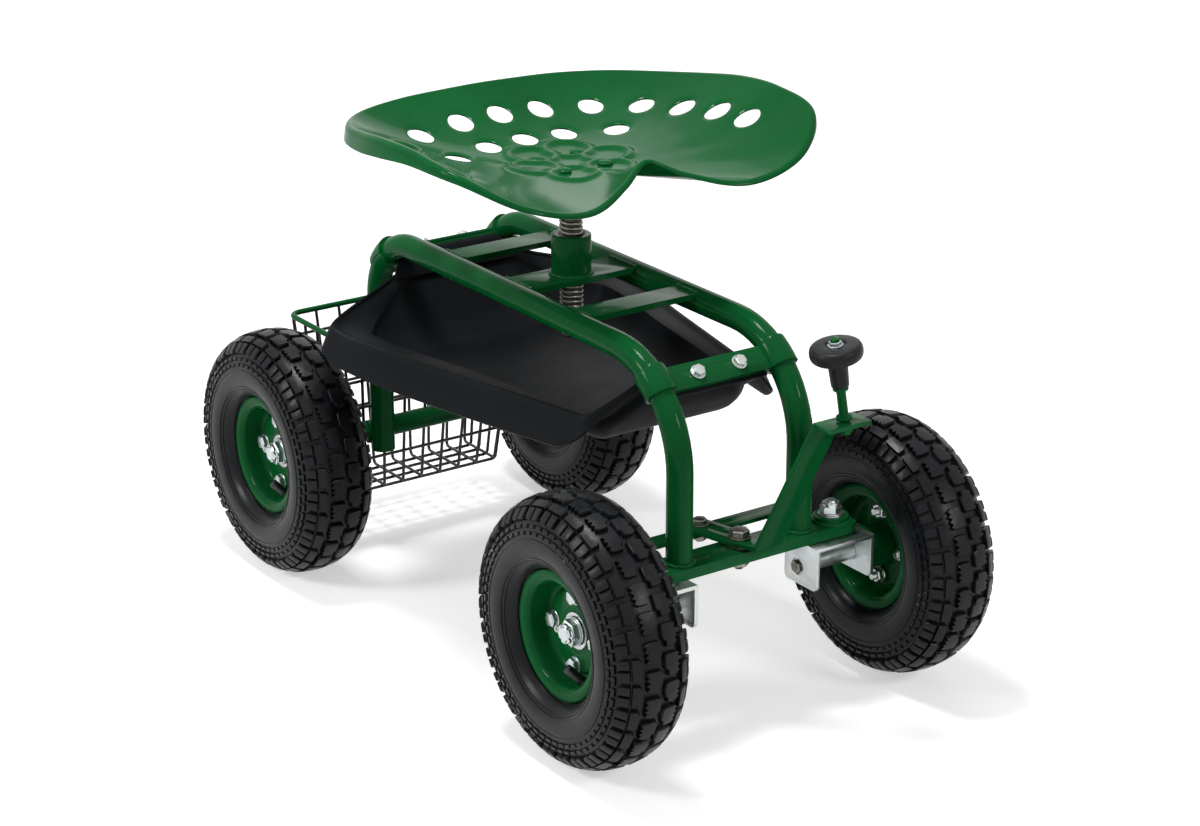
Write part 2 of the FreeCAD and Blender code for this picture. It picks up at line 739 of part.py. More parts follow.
def make_seat_bolt(x, y):
    seat = vec(x, y + POST_Y, SEAT_Z + 1.7)
    bolt = hex_bolt(M8_R, M8_FLATS, seat + UP * 4.0, seat, vec(x, y + POST_Y, FLANGE_BOTTOM - 9.0))
    under = vec(x, y + POST_Y, FLANGE_BOTTOM)
    return [bolt, hex_nut(M8_FLATS, M8_R + 0.1, under - UP * M8_NUT, under)]


def make_lock_bolt():
    tip = vec(0, POST_Y - POST_D / 2.0 - 0.4, LOCK_Z)
    seat = vec(0, POST_Y - LOCK_REACH, LOCK_Z)
    return hex_bolt(M8_R, M8_FLATS, seat - vec(0, M8_HEAD, 0), seat, tip)


def make_post():
    top = vec(0, POST_Y, POST_TOP_Z)
    post = cylinder(POST_D / 2.0, top - UP * POST_LENGTH, top)
    return post.makeChamfer(1.5, [post.Edges[0], post.Edges[2]])


def make_post_nut():
    low = vec(0, POST_Y, BAR_TOP)
    return ring(NUT_R, POST_D / 2.0 + RUN_CLEARANCE, low, low + UP * NUT_HEIGHT)


def make_seat_plate():
    low = vec(0, POST_Y, BAR_BOTTOM - 1.0)
    return make_bar(POST_Y, 45.0).cut(cylinder(POST_D / 2.0 + 0.5, low, low + UP * 20.0))


# Steering: lever, tie bar and knuckle arms form a parallelogram.
STRIP_FOOT_Y = FRONT_Y - 28.0
STRIP_LEFT_X = -3.0
STRIP_WIDTH = 32.0
STRIP_RISE = vec(48.0, -25.0, 123.0)
TAB_WIDTH = 49.0
TAB_DEPTH = 21.0


def make_lever():
    thick = vec(0, 0, LEVER_THICK)
    turn = math.radians(STEER_SET)
    ahead = vec(math.sin(turn), -math.cos(turn), 0)
    aside = vec(math.cos(turn), math.sin(turn), 0)
    pivot = vec(0, FRONT_Y, LEVER_BOTTOM)
    tie = pivot - ahead * STEER_ARM
    half = LEVER_WIDTH / 2.0
    right = vec(STRIP_LEFT_X, STRIP_FOOT_Y, LEVER_BOTTOM)
    left = vec(STRIP_LEFT_X + STRIP_WIDTH, STRIP_FOOT_Y, LEVER_BOTTOM)
    corners = [tie - aside * half, tie + aside * half, pivot + aside * half]
    corners += [left, right, pivot - aside * half, tie - aside * half]
    plate = Part.Face(Part.makePolygon(corners)).extrude(thick)
    plate = plate.fuse(cylinder(half, tie, tie + thick))
    face = vec(0, -STRIP_RISE.z, STRIP_RISE.y).normalize()
    back = face * (-LEVER_THICK)
    edge = [right, left, left + STRIP_RISE, right + STRIP_RISE, right]
    strip = Part.Face(Part.makePolygon(edge)).extrude(back)
    corner = right + STRIP_RISE
    tab_top = corner.z + 1.0
    tab = box(0.0, TAB_WIDTH, -TAB_DEPTH, LEVER_THICK, -LEVER_THICK, 0.0)
    tab.translate(vec(corner.x, corner.y, tab_top))
    lever = plate.fuse([strip, tab])
    lever = lever.cut(cylinder(LEVER_BOLT_D / 2.0 + RUN_CLEARANCE, pivot - UP, pivot + UP * 9.0))
    lever = lever.cut(cylinder(TIE_BOLT_D / 2.0 + RUN_CLEARANCE, tie - UP, tie + UP * 9.0))
    foot = knob_foot()
    along = knob_axis()
    lever = lever.cut(cylinder(KNOB_ROD_R + BOLT_GAP, foot - along * 20.0, foot + along * 20.0))
    return lever.removeSplitter()


def knob_foot():
    corner = vec(STRIP_LEFT_X, STRIP_FOOT_Y, LEVER_BOTTOM) + STRIP_RISE
    return corner + vec(28.0, -TAB_DEPTH / 3.0, 1.0)


def knob_axis():
    lean = math.radians(KNOB_LEAN)
    return vec(-math.sin(lean), 0, math.cos(lean))


def make_knob_rod():
    foot = knob_foot()
    along = knob_axis()
    rod = cylinder(KNOB_ROD_R, foot - along * 14.0, foot + along * (KNOB_HIGH + 6.0))
    rod = rod.fuse(cylinder(7.5, foot + along * 1.6, foot + along * 5.0))
    return rod.fuse(cylinder(7.5, foot + along * (KNOB_LOW - 4.0), foot + along * (KNOB_LOW - 0.4)))


def make_knob_nuts():
    foot = knob_foot()
    along = knob_axis()
    bore = KNOB_ROD_R + 0.1
    seat = foot + along * (KNOB_HIGH + 0.4)
    washer = ring(8.0, bore, seat, seat + along * 1.2)
    top = hex_nut(13.0, bore, seat + along * 1.2, seat + along * 5.2)
    low = hex_nut(15.0, bore, foot - along * 12.0, foot - along * 6.0)
    return [washer, top, low]


def make_knob():
    foot = knob_foot()
    along = knob_axis()
    edge = KNOB_D / 2.0
    bore = KNOB_ROD_R + RUN_CLEARANCE
    neck = KNOB_HIGH - 16.5
    points = []
    points.append(vec(bore, 0, KNOB_LOW))
    points.append(vec(8.4, 0, KNOB_LOW))
    points.append(vec(9.4, 0, neck - 5.0))
    points.append(vec(13.0, 0, neck))
    points.append(vec(edge - 4.5, 0, neck + 1.5))
    points.append(vec(edge, 0, neck + 5.5))
    points.append(vec(edge, 0, KNOB_HIGH - 4.5))
    points.append(vec(edge - 4.0, 0, KNOB_HIGH - 0.8))
    points.append(vec(12.0, 0, KNOB_HIGH))
    points.append(vec(bore, 0, KNOB_HIGH))
    points.append(points[0])
    knob = revolved(lines(points), UP)
    knob.rotate(vec(0, 0, 0), vec(0, 1, 0), -math.degrees(math.atan2(-along.x, along.z)))
    knob.translate(foot)
    return knob


def make_tie_bar():
    half = 10.0
    y = FRONT_Y + ARM_DY
    bar = box(ARM_DX - KINGPIN_X, ARM_DX + KINGPIN_X, y - half, y + half, TIE_BOTTOM, TIE_TOP)
    holes = []
    for x in (-KINGPIN_X, 0.0, KINGPIN_X):
        low = vec(ARM_DX + x, y, TIE_BOTTOM)
        if x != 0.0:
            bar = bar.fuse(cylinder(half, low, low + UP * TIE_THICK))
        holes.append(cylinder(TIE_BOLT_D / 2.0 + 0.1, low - UP, low + UP * 6.0))
    return bar.cut(holes).removeSplitter()


def make_tie_bolt(x):
    y = FRONT_Y + ARM_DY
    top = TIE_TOP
    low = ARM_BOTTOM - 0.3
    if x == 0.0:
        top = LEVER_TOP + 0.3
        low = TIE_BOTTOM
    seat = vec(ARM_DX + x, y, top)
    under = vec(ARM_DX + x, y, low)
    bolt = hex_bolt(TIE_BOLT_D / 2.0, M8_FLATS, seat + UP * M8_HEAD, seat, under - UP * 8.0)
    return [bolt, hex_nut(M8_FLATS, TIE_BOLT_D / 2.0 + 0.1, under - UP * M8_NUT, under)]


# Knuckles: folded brackets that carry the stub axles.
def make_knuckle(side):
    low = AXLE_Z - LUG_DROP
    rear = LUG_BACK if side > 0 else LUG_FRONT
    front = -LUG_FRONT if side > 0 else -LUG_BACK
    inner = LUG_INNER_X
    outer = LUG_OUTER_X
    shape = box(inner, outer, front, rear, WEB_BOTTOM, WEB_TOP)
    for x in (inner, outer - WEB_THICK):
        lug = box(x, x + WEB_THICK, front, rear, low + LUG_CORNER, WEB_TOP)
        lug = lug.fuse(box(x, x + WEB_THICK, front + LUG_CORNER, rear - LUG_CORNER, low, WEB_TOP))
        for y in (front + LUG_CORNER, rear - LUG_CORNER):
            edge = vec(x, y, low + LUG_CORNER)
            lug = lug.fuse(cylinder(LUG_CORNER, edge, edge + ACROSS * WEB_THICK))
        shape = shape.fuse(lug)
    start = vec(inner - WEB_THICK, 0, AXLE_Z)
    end = vec(outer + WEB_THICK, 0, AXLE_Z)
    shape = shape.cut(cylinder(AXLE_D / 2.0 + BOLT_GAP, start, end))
    if side < 0:
        shape.rotate(vec(0, 0, 0), UP, 180.0)
    shape.translate(vec(-side * KINGPIN_X, 0, 0))
    arm = box(-12.0, 12.0, 0.0, 38.0, WEB_BOTTOM, WEB_TOP)
    arm = arm.fuse(box(-12.0, 12.0, 34.0, 38.0, WEB_BOTTOM, ARM_TOP))
    arm = arm.fuse(box(-12.0, 12.0, 34.0, STEER_ARM, ARM_BOTTOM, ARM_TOP))
    arm = arm.fuse(cylinder(12.0, vec(0, STEER_ARM, ARM_BOTTOM), vec(0, STEER_ARM, ARM_TOP)))
    pin = vec(0, STEER_ARM, ARM_BOTTOM - 1.0)
    arm = arm.cut(cylinder(TIE_BOLT_D / 2.0 + RUN_CLEARANCE, pin, pin + UP * 10.0))
    arm.rotate(vec(0, 0, 0), UP, STEER_SET)
    shape = shape.fuse(arm)
    pivot = vec(0, 0, WEB_BOTTOM - 1.0)
    shape = shape.cut(cylinder(KINGPIN_D / 2.0 + RUN_CLEARANCE, pivot, pivot + UP * 10.0))
    shape.translate(vec(side * KINGPIN_X, FRONT_Y, 0))
    return shape.removeSplitter()


STUB_RECESS = 1.5


def make_stub_axle(side):
    start = vec(side * (LUG_INNER_X + STUB_RECESS), FRONT_Y, AXLE_Z)
    return cylinder(AXLE_D / 2.0, start, vec(side * AXLE_END_X, FRONT_Y, AXLE_Z))


# Wheels, drawn about the X axis with the outer side towards +X.
def spoke(x, radius):
    return vec(x, 0, radius)


# The crown is an arc from shoulder to shoulder; the tread's grooves follow it at their depth.
def groove_floor(x, shoulder):
    drop = TYRE_OD / 2.0 - shoulder
    reach = TYRE_WIDTH / 2.0 - 7.0
    bow = (reach * reach + drop * drop) / (2.0 * drop)
    level = bow - TREAD_DEPTH
    return TYRE_OD / 2.0 - bow + math.sqrt(level * level - x * x)


def tread_grooves(shoulder):
    half = TYRE_WIDTH / 2.0
    over = TYRE_OD / 2.0 + TREAD_DEPTH
    grooves = []
    for start, end in ((-0.045, 0.045), (0.4, 0.49), (-0.49, -0.4)):
        floor = groove_floor((start + end) * half / 2.0, shoulder)
        grooves.append(ring(over, floor, vec(start * half, 0, 0), vec(end * half, 0, 0)))
    return grooves


def tread_slot(section, side, angle):
    points = []
    for x, radius in section:
        points.append(vec(side * x, -TREAD_SLOT / 2.0, radius))
    points.append(points[0])
    slot = Part.Face(Part.makePolygon(points)).extrude(vec(0, TREAD_SLOT, 0))
    slot.rotate(vec(0, 0, 0), ACROSS, angle)
    return slot


def tread_slots(shoulder, cheek):
    half = TYRE_WIDTH / 2.0
    over = TYRE_OD / 2.0 + TREAD_DEPTH
    middle = [(0.02 * half, over), (0.42 * half, over)]
    for share in (0.42, 0.02):
        middle.append((share * half, groove_floor(share * half, shoulder)))
    outside = [(half + TREAD_DEPTH, over), (0.47 * half, over)]
    for share in (0.47, 0.63, 0.76):
        outside.append((share * half, groove_floor(share * half, shoulder)))
    outside.append((0.86 * half, cheek + 0.26 * (shoulder - cheek)))
    outside.append((half + TREAD_DEPTH, cheek))
    step = 360.0 / TREAD_PITCHES
    slots = []
    for k in range(TREAD_PITCHES):
        for side in (-1.0, 1.0):
            shift = 0.0 if side > 0.0 else 0.5
            slots.append(tread_slot(middle, side, (k + shift) * step))
            slots.append(tread_slot(outside, side, (k + 0.5 - shift) * step))
    return slots


def make_tyre():
    outer = TYRE_OD / 2.0
    half = TYRE_WIDTH / 2.0
    seat = RIM_SEAT_R + 0.5
    heel = RIM_HALF - 0.5
    toe = heel - 6.0
    rise = outer - seat
    belly = seat + 0.48 * rise
    sill = seat + 0.305 * rise
    cheek = outer - 0.33 * rise
    shoulder = outer - 0.165 * rise
    brow = RIM_EDGE_R + 1.5
    edges = []
    edges += lines([spoke(toe, seat), spoke(heel, seat), spoke(heel, brow)])
    edges.append(arc(spoke(heel, brow), spoke(half - 4.5, sill), spoke(half, belly)))
    edges.append(arc(spoke(half, belly), spoke(half - 1.8, cheek), spoke(half - 7.0, shoulder)))
    edges.append(arc(spoke(half - 7.0, shoulder), spoke(0, outer), spoke(7.0 - half, shoulder)))
    edges.append(arc(spoke(7.0 - half, shoulder), spoke(1.8 - half, cheek), spoke(-half, belly)))
    edges.append(arc(spoke(-half, belly), spoke(4.5 - half, sill), spoke(-heel, brow)))
    edges += lines([spoke(-heel, brow), spoke(-heel, seat), spoke(-toe, seat), spoke(-toe, seat + 9.0)])
    inner = half - TYRE_WALL
    crown = outer - TYRE_WALL - 1.0
    mid = crown - 0.266 * rise
    turn = crown - 0.14 * rise
    edges.append(arc(spoke(-toe, seat + 9.0), spoke(4.5 - inner, sill), spoke(-inner, belly)))
    edges.append(arc(spoke(-inner, belly), spoke(1.5 - inner, mid), spoke(6.0 - inner, turn)))
    edges.append(arc(spoke(6.0 - inner, turn), spoke(0, crown), spoke(inner - 6.0, turn)))
    edges.append(arc(spoke(inner - 6.0, turn), spoke(inner - 1.5, mid), spoke(inner, belly)))
    edges.append(arc(spoke(inner, belly), spoke(inner - 4.5, sill), spoke(toe, seat + 9.0)))
    edges.append(Part.makeLine(spoke(toe, seat + 9.0), spoke(toe, seat)))
    return revolved(edges, ACROSS).cut(tread_grooves(shoulder)).cut(tread_slots(shoulder, cheek))


VALVE_X = 11.0
VALVE_R = 5.0
VALVE_ANGLE = 205.0


def oval_ring(half_width, half_height, centre):
    places = []
    for x, rise in ring_places(16, 1.0, 0.0):
        places.append(spoke(half_width * x, centre + half_height * rise))
    section = Part.BSplineCurve()
    section.interpolate(places, PeriodicFlag=True)
    return revolved([section.toShape()], ACROSS)


def make_inner_tube():
    seat = RIM_SEAT_R + 0.5
    rise = TYRE_OD / 2.0 - seat
    centre = seat + 0.462 * rise
    half_width = TYRE_WIDTH / 2.0 - TYRE_WALL - 4.5
    half_height = 0.39 * rise
    tube = oval_ring(half_width, half_height, centre)
    tip = RIM_SEAT_R - 19.0
    stem = cylinder(VALVE_R, spoke(VALVE_X, tip), spoke(VALVE_X, seat + 8.0))
    stem.rotate(vec(0, 0, 0), ACROSS, VALVE_ANGLE)
    tube = tube.fuse(stem)
    hollow = oval_ring(half_width - TUBE_WALL, half_height - TUBE_WALL, centre)
    bore = cylinder(2.0, spoke(VALVE_X, tip - 1.0), spoke(VALVE_X, seat + 14.0))
    bore.rotate(vec(0, 0, 0), ACROSS, VALVE_ANGLE)
    return tube.cut(hollow).cut(bore)


def rim_profile(hole_r):
    seat_in = RIM_SEAT_R - RIM_SHEET
    points = []
    points.append(spoke(0, hole_r))
    points.append(spoke(RIM_SHEET, hole_r))
    points.append(spoke(RIM_SHEET, seat_in - 3.0))
    points.append(spoke(RIM_SHEET + 3.0, seat_in))
    points.append(spoke(RIM_HALF + RIM_SHEET - 1.0, seat_in))
    points.append(spoke(RIM_HALF + RIM_SHEET, seat_in + 1.5))
    points.append(spoke(RIM_HALF + RIM_SHEET, RIM_EDGE_R - 1.0))
    points.append(spoke(RIM_HALF + RIM_SHEET - 1.0, RIM_EDGE_R))
    points.append(spoke(RIM_HALF, RIM_EDGE_R))
    points.append(spoke(RIM_HALF, RIM_SEAT_R))
    points.append(spoke(0, RIM_SEAT_R))
    points.append(points[0])
    return revolved(lines(points), ACROSS)


def rim_holes():
    holes = []
    for y, z in ring_places(RIM_BOLTS, RIM_BOLT_RADIUS, 0.0):
        holes.append(cylinder(M8_R + BOLT_GAP, vec(-20.0, y, z), vec(20.0, y, z)))
    return holes


def make_outer_rim():
    rim = rim_profile(HUB_R + WELD_GAP).cut(rim_holes())
    valve = cylinder(VALVE_R + 0.5, spoke(VALVE_X, RIM_SEAT_R - 10.0), spoke(VALVE_X, RIM_SEAT_R + 10.0))
    valve.rotate(vec(0, 0, 0), ACROSS, VALVE_ANGLE)
    return rim.cut(valve)


def make_inner_rim():
    rim = rim_profile(HUB_R - 0.5)
    rim.rotate(vec(0, 0, 0), UP, 180.0)
    hub = ring(HUB_R, BEARING_R, vec(-HUB_INNER, 0, 0), vec(HUB_OUTER, 0, 0))
    return rim.cut(rim_holes()).fuse(hub).removeSplitter()


def make_bearings():
    bore = AXLE_D / 2.0 + RUN_CLEARANCE
    solids = []
    for start in (-HUB_INNER, HUB_OUTER - BEARING_WIDTH):
        end = vec(start + BEARING_WIDTH, 0, 0)
        solids.append(ring(BEARING_R - RUN_CLEARANCE, bore, vec(start, 0, 0), end))
    return solids


def make_rim_bolts():
    solids = []
    for y, z in ring_places(RIM_BOLTS, RIM_BOLT_RADIUS, 0.0):
        seat = vec(RIM_SHEET, y, z)
        solids.append(hex_bolt(M8_R, M8_FLATS, seat + ACROSS * M8_HEAD, seat, vec(-RIM_SHEET - 9.0, y, z)))
        back = vec(-RIM_SHEET, y, z)
        solids.append(hex_nut(M8_FLATS, M8_R + 0.1, back, back - ACROSS * M8_NUT))
    return solids


def make_wheel():
    wheel = {}
    wheel["tyre"] = make_tyre()
    wheel["inner_tube"] = make_inner_tube()
    wheel["outer_rim"] = make_outer_rim()
    wheel["inner_rim"] = make_inner_rim()
    wheel["wheel_bearings"] = Part.makeCompound(make_bearings())
    wheel["rim_bolts"] = Part.makeCompound(make_rim_bolts())
    return wheel


def place_wheel(name, wheel, side, y):
    for piece in wheel:
        shape = wheel[piece].copy()
        if side < 0:
            shape.rotate(vec(0, 0, 0), UP, 180.0)
        shape.translate(vec(side * WHEEL_X, y, AXLE_Z))
        write(name + "_" + piece, shape)


def group(lists):
    solids = []
    for item in lists:
        solids += item
    return Part.makeCompound(solids)


write("right_rail", make_rail(-RAIL_X))
write("left_rail", make_rail(RAIL_X))
write("cross_members", Part.makeCompound([make_bar(POST_Y - 108.0, 32.0), make_bar(POST_Y + 116.0, 32.0)]))
write("seat_plate", make_seat_plate())
write("post_nut", make_post_nut())
write("front_axle_beam", make_front_beam())
write("kingpins", Part.makeCompound([make_kingpin(-KINGPIN_X), make_kingpin(KINGPIN_X)]))
write("kingpin_nuts", group([make_kingpin_nut(-KINGPIN_X), make_kingpin_nut(KINGPIN_X)]))
write("lever_bolt", Part.makeCompound(make_lever_bolt()))
write("front_clamp", Part.makeCompound([strap_half(FRONT_PLACE, 1.0), strap_half(FRONT_PLACE, -1.0)]))
write("rear_clamp", Part.makeCompound([strap_half(REAR_PLACE, 1.0), strap_half(REAR_PLACE, -1.0)]))
bolts = []
for clamp in (FRONT_PLACE, REAR_PLACE):
    bolts.append(make_clamp_bolt(clamp, -CLAMP_BOLT_X))
    bolts.append(make_clamp_bolt(clamp, CLAMP_BOLT_X))
write("clamp_bolts", group(bolts))
write("tool_tray", make_tray())
write("rear_axle_tube", make_rear_axle_tube())
rod_start = vec(-AXLE_END_X, REAR_Y, AXLE_Z)
rod_end = vec(AXLE_END_X, REAR_Y, AXLE_Z)
write("rear_axle", cylinder(AXLE_D / 2.0, rod_start, rod_end))
write("rear_axle_nuts", group([make_axle_nut(-1.0, REAR_Y), make_axle_nut(1.0, REAR_Y)]))
write("basket_rim", make_basket_rim())
write("basket_wires", Part.makeCompound(make_basket_wires()))
write("threaded_post", make_post())
write("seat_socket", make_socket())
write("seat_pan", make_seat_pan())
write("seat_bolts", group([make_seat_bolt(x, y) for x, y in ring_places(4, SEAT_BOLT_RADIUS, 45.0)]))
write("swivel_lock_bolt", make_lock_bolt())
write("steering_lever", make_lever())
write("knob_rod", make_knob_rod())
write("knob_nut", Part.makeCompound(make_knob_nuts()))
write("steering_knob", make_knob())
write("tie_bar", make_tie_bar())
write("tie_bolts", group([make_tie_bolt(x) for x in (-KINGPIN_X, 0.0, KINGPIN_X)]))
for name, side in (("right", -1.0), ("left", 1.0)):
    write(name + "_knuckle", make_knuckle(side))
    write(name + "_stub_axle", make_stub_axle(side))
    write(name + "_axle_nut", Part.makeCompound(make_axle_nut(side, FRONT_Y)))
wheel = make_wheel()
place_wheel("front_right", wheel, -1.0, FRONT_Y)
place_wheel("front_left", wheel, 1.0, FRONT_Y)
place_wheel("rear_right", wheel, -1.0, REAR_Y)
place_wheel("rear_left", wheel, 1.0, REAR_Y)
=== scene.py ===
import math

import bmesh
import bpy
from mathutils import Matrix, Vector
from mathutils.geometry import delaunay_2d_cdt


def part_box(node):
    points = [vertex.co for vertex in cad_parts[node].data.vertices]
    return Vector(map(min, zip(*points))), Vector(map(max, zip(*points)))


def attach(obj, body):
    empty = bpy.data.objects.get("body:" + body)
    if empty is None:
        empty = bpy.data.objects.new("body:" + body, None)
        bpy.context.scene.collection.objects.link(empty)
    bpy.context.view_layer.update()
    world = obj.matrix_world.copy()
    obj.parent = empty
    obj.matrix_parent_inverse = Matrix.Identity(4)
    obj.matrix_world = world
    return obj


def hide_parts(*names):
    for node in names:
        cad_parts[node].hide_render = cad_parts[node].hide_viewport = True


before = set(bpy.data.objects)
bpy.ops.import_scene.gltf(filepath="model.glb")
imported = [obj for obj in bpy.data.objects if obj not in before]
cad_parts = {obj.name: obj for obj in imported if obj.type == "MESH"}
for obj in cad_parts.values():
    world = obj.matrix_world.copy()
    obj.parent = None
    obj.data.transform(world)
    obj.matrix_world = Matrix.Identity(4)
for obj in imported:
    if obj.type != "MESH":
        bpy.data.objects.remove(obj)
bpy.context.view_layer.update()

bl_info = {
    "name": "Rolling garden seat",
    "version": (1, 0, 0),
    "blender": (4, 5, 0),
    "location": "View3D > Sidebar > Garden seat",
    "description": "Dresses the rolling garden seat on its packed frame",
    "category": "Object",
}

MM = 0.001
FULL_TURN = 2.0 * math.pi
UP = (0.0, 0.0, 1.0)
DOWN = (0.0, 0.0, -1.0)
WHITE = (1.0, 1.0, 1.0, 1.0)
SIDES = (("right", -1.0), ("left", 1.0))


def middle(node):
    low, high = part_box(node)
    return (Vector(low) + Vector(high)) / 2.0


# Places in metres, most of them taken from the frame. RAIL_TOP is the centre line of the rails' top run.
FRONT_Y = middle("right_stub_axle").y
REAR_Y = middle("rear_axle").y
AXLE_Z = middle("rear_axle").z
RAIL_X = middle("left_rail").x
RAIL_R = (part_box("left_rail")[1][0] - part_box("left_rail")[0][0]) / 2.0
RAIL_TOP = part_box("seat_plate")[0][2] - 4.0 * MM
BAR_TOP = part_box("seat_plate")[1][2]
BEAM_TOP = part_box("front_axle_beam")[1][2] - 6.0 * MM
REAR_LEG_Y = REAR_Y - 14.0 * MM
REAR_LEG_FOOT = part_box("left_rail")[0][2]
FRONT_BEND = 100.0 * MM
REAR_BEND = 70.0 * MM
POST = middle("threaded_post")
POST_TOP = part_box("threaded_post")[1][2]
POST_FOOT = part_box("threaded_post")[0][2]
SEAT_Z = POST_TOP + 11.0 * MM
KINGPIN_X = 110.0 * MM
TIE_X = middle("tie_bar").x
TIE_Y = middle("tie_bar").y

WHEELS = {
    "front_right": -1.0,
    "front_left": 1.0,
    "rear_right": -1.0,
    "rear_left": 1.0,
}


def length_property(label, about, millimetres):
    return bpy.props.FloatProperty(name=label, description=about, default=millimetres * MM, unit="LENGTH")


class GardenSeatSizes(bpy.types.PropertyGroup):
    tread_height: length_property("Tread height", "Height of the tread blocks", 4.6)
    tread_pitches: bpy.props.IntProperty(
        name="Tread pitches", description="Repeats of the tread round a tyre", default=30)
    thread_pitch: length_property("Post thread pitch", "Rise of the post's thread in a turn", 5.0)
    seat_sheet: length_property("Seat sheet", "Thickness of the seat's sheet", 2.4)
    basket_wire: length_property("Basket wire", "Diameter of the basket's wires", 3.4)
    basket_pitch: length_property("Basket pitch", "Distance between the basket's wires", 30.0)
    weld_bead: length_property("Weld bead", "Radius of a weld bead", 2.3)


def colour_property(label, about, red, green, blue):
    return bpy.props.FloatVectorProperty(
        name=label, description=about, default=(red, green, blue, 1.0), size=4, subtype="COLOR",
        min=0.0, max=1.0)


class GardenSeatColours(bpy.types.PropertyGroup):
    enamel: colour_property("Green enamel", "Paint of the seat, frame and rims", 0.0024, 0.08, 0.0182)
    wire_black: colour_property("Black paint", "Paint of the basket and lock bolt", 0.006, 0.006, 0.0065)
    tray_black: colour_property("Tray", "Moulded plastic of the tool tray", 0.0072, 0.0082, 0.0098)
    rubber: colour_property("Tyre rubber", "Rubber of the tyres", 0.0042, 0.0048, 0.0058)
    knob_black: colour_property("Knob", "Plastic of the steering knob", 0.0125, 0.013, 0.014)
    zinc: colour_property("Zinc", "Plating of brackets, nuts and bolts", 0.52, 0.55, 0.54)
    thread_steel: colour_property("Threaded steel", "Oiled steel of the seat post", 0.085, 0.082, 0.07)
    floor: colour_property("Floor", "Pale floor under the seat", 0.8, 0.8, 0.8)


def sizes():
    return bpy.context.scene.garden_seat_sizes


def colours():
    return bpy.context.scene.garden_seat_colours


# Nodes, for shader and geometry trees alike.
def add_node(tree, kind, inputs=None, **settings):
    """A node with its settings made and its inputs fed from sockets or plain values."""
    node = tree.nodes.new(kind)
    for label, value in settings.items():
        setattr(node, label, value)
    for label, value in (inputs or {}).items():
        if hasattr(value, "is_output"):
            tree.links.new(value, node.inputs[label])
        else:
            node.inputs[label].default_value = value
    return node


def math_node(tree, operation, first, second):
    return add_node(tree, "ShaderNodeMath", {0: first, 1: second}, operation=operation).outputs[0]


def add_inputs(tree, inputs):
    for label, kind, value in inputs:
        made = tree.interface.new_socket(label, in_out="INPUT", socket_type=kind)
        if value is not None:
            made.default_value = value


# Shader groups shared by the finishes.
def shader_group(name, inputs, output, kind):
    tree = bpy.data.node_groups.new(name, "ShaderNodeTree")
    add_inputs(tree, inputs)
    tree.interface.new_socket(output, in_out="OUTPUT", socket_type=kind)
    return tree, tree.nodes.new("NodeGroupInput").outputs


def object_noise(tree, scale, detail):
    place = tree.nodes.new("ShaderNodeTexCoord")
    noise = add_node(tree, "ShaderNodeTexNoise", {
        "Vector": place.outputs["Object"], "Scale": scale, "Detail": detail, "Roughness": 0.6})
    return noise.outputs[0]


def make_patchy_group():
    """Patches between a low and a high value."""
    tree, given = shader_group("patchy_value", (
        ("Scale", "NodeSocketFloat", 20.0),
        ("Detail", "NodeSocketFloat", 3.0),
        ("Low", "NodeSocketFloat", 0.0),
        ("High", "NodeSocketFloat", 1.0),
    ), "Value", "NodeSocketFloat")
    spread = add_node(tree, "ShaderNodeMapRange", {
        "Value": object_noise(tree, given["Scale"], given["Detail"]),
        "From Min": 0.3, "From Max": 0.7, "To Min": given["Low"], "To Max": given["High"]})
    add_node(tree, "NodeGroupOutput", {"Value": spread.outputs["Result"]})


def make_tint_group():
    """One colour over another by a mask."""
    tree, given = shader_group("two_tone", (
        ("First", "NodeSocketColor", (0.1, 0.1, 0.1, 1.0)),
        ("Second", "NodeSocketColor", (0.2, 0.2, 0.2, 1.0)),
        ("Mask", "NodeSocketFloat", 0.5),
    ), "Color", "NodeSocketColor")
    # Sockets of the mix node for colours: factor 0, colours 6 and 7, result 2.
    mix = add_node(tree, "ShaderNodeMix", {0: given["Mask"], 6: given["First"], 7: given["Second"]},
                   data_type="RGBA")
    add_node(tree, "NodeGroupOutput", {"Color": mix.outputs[2]})


def make_mask_group(name, measure, low, high, detail):
    """A mask from a measure of the shape between low and high, broken up by noise."""
    tree, given = shader_group(name, (
        ("Amount", "NodeSocketFloat", 0.2),
        ("Scale", "NodeSocketFloat", 20.0),
    ), "Mask", "NodeSocketFloat")
    value = tree.nodes.new("ShaderNodeNewGeometry").outputs[measure]
    if measure == "Normal":
        value = add_node(tree, "ShaderNodeSeparateXYZ", {0: value}).outputs["Z"]
    spread = add_node(tree, "ShaderNodeMapRange", {"Value": value, "From Min": low, "From Max": high})
    noise = object_noise(tree, given["Scale"], detail)
    broken = math_node(tree, "MULTIPLY", spread.outputs["Result"], noise)
    add_node(tree, "NodeGroupOutput", {"Mask": math_node(tree, "MULTIPLY", broken, given["Amount"])})


class Finish:
    """One procedural finish, built up from the shared groups."""

    def __init__(self, name):
        material = bpy.data.materials.new(name)
        material.use_nodes = True
        self.tree = material.node_tree
        self.shader = self.tree.nodes["Principled BSDF"]

    def group(self, name, **values):
        tree = bpy.data.node_groups[name]
        return add_node(self.tree, "ShaderNodeGroup", values, node_tree=tree).outputs[0]

    def patchy(self, scale, detail, low=0.0, high=1.0):
        return self.group("patchy_value", Scale=scale, Detail=detail, Low=low, High=high)

    def tint(self, first, second, mask):
        return self.group("two_tone", First=first, Second=second, Mask=mask)

    def feed(self, label, value):
        self.tree.links.new(value, self.shader.inputs[label])


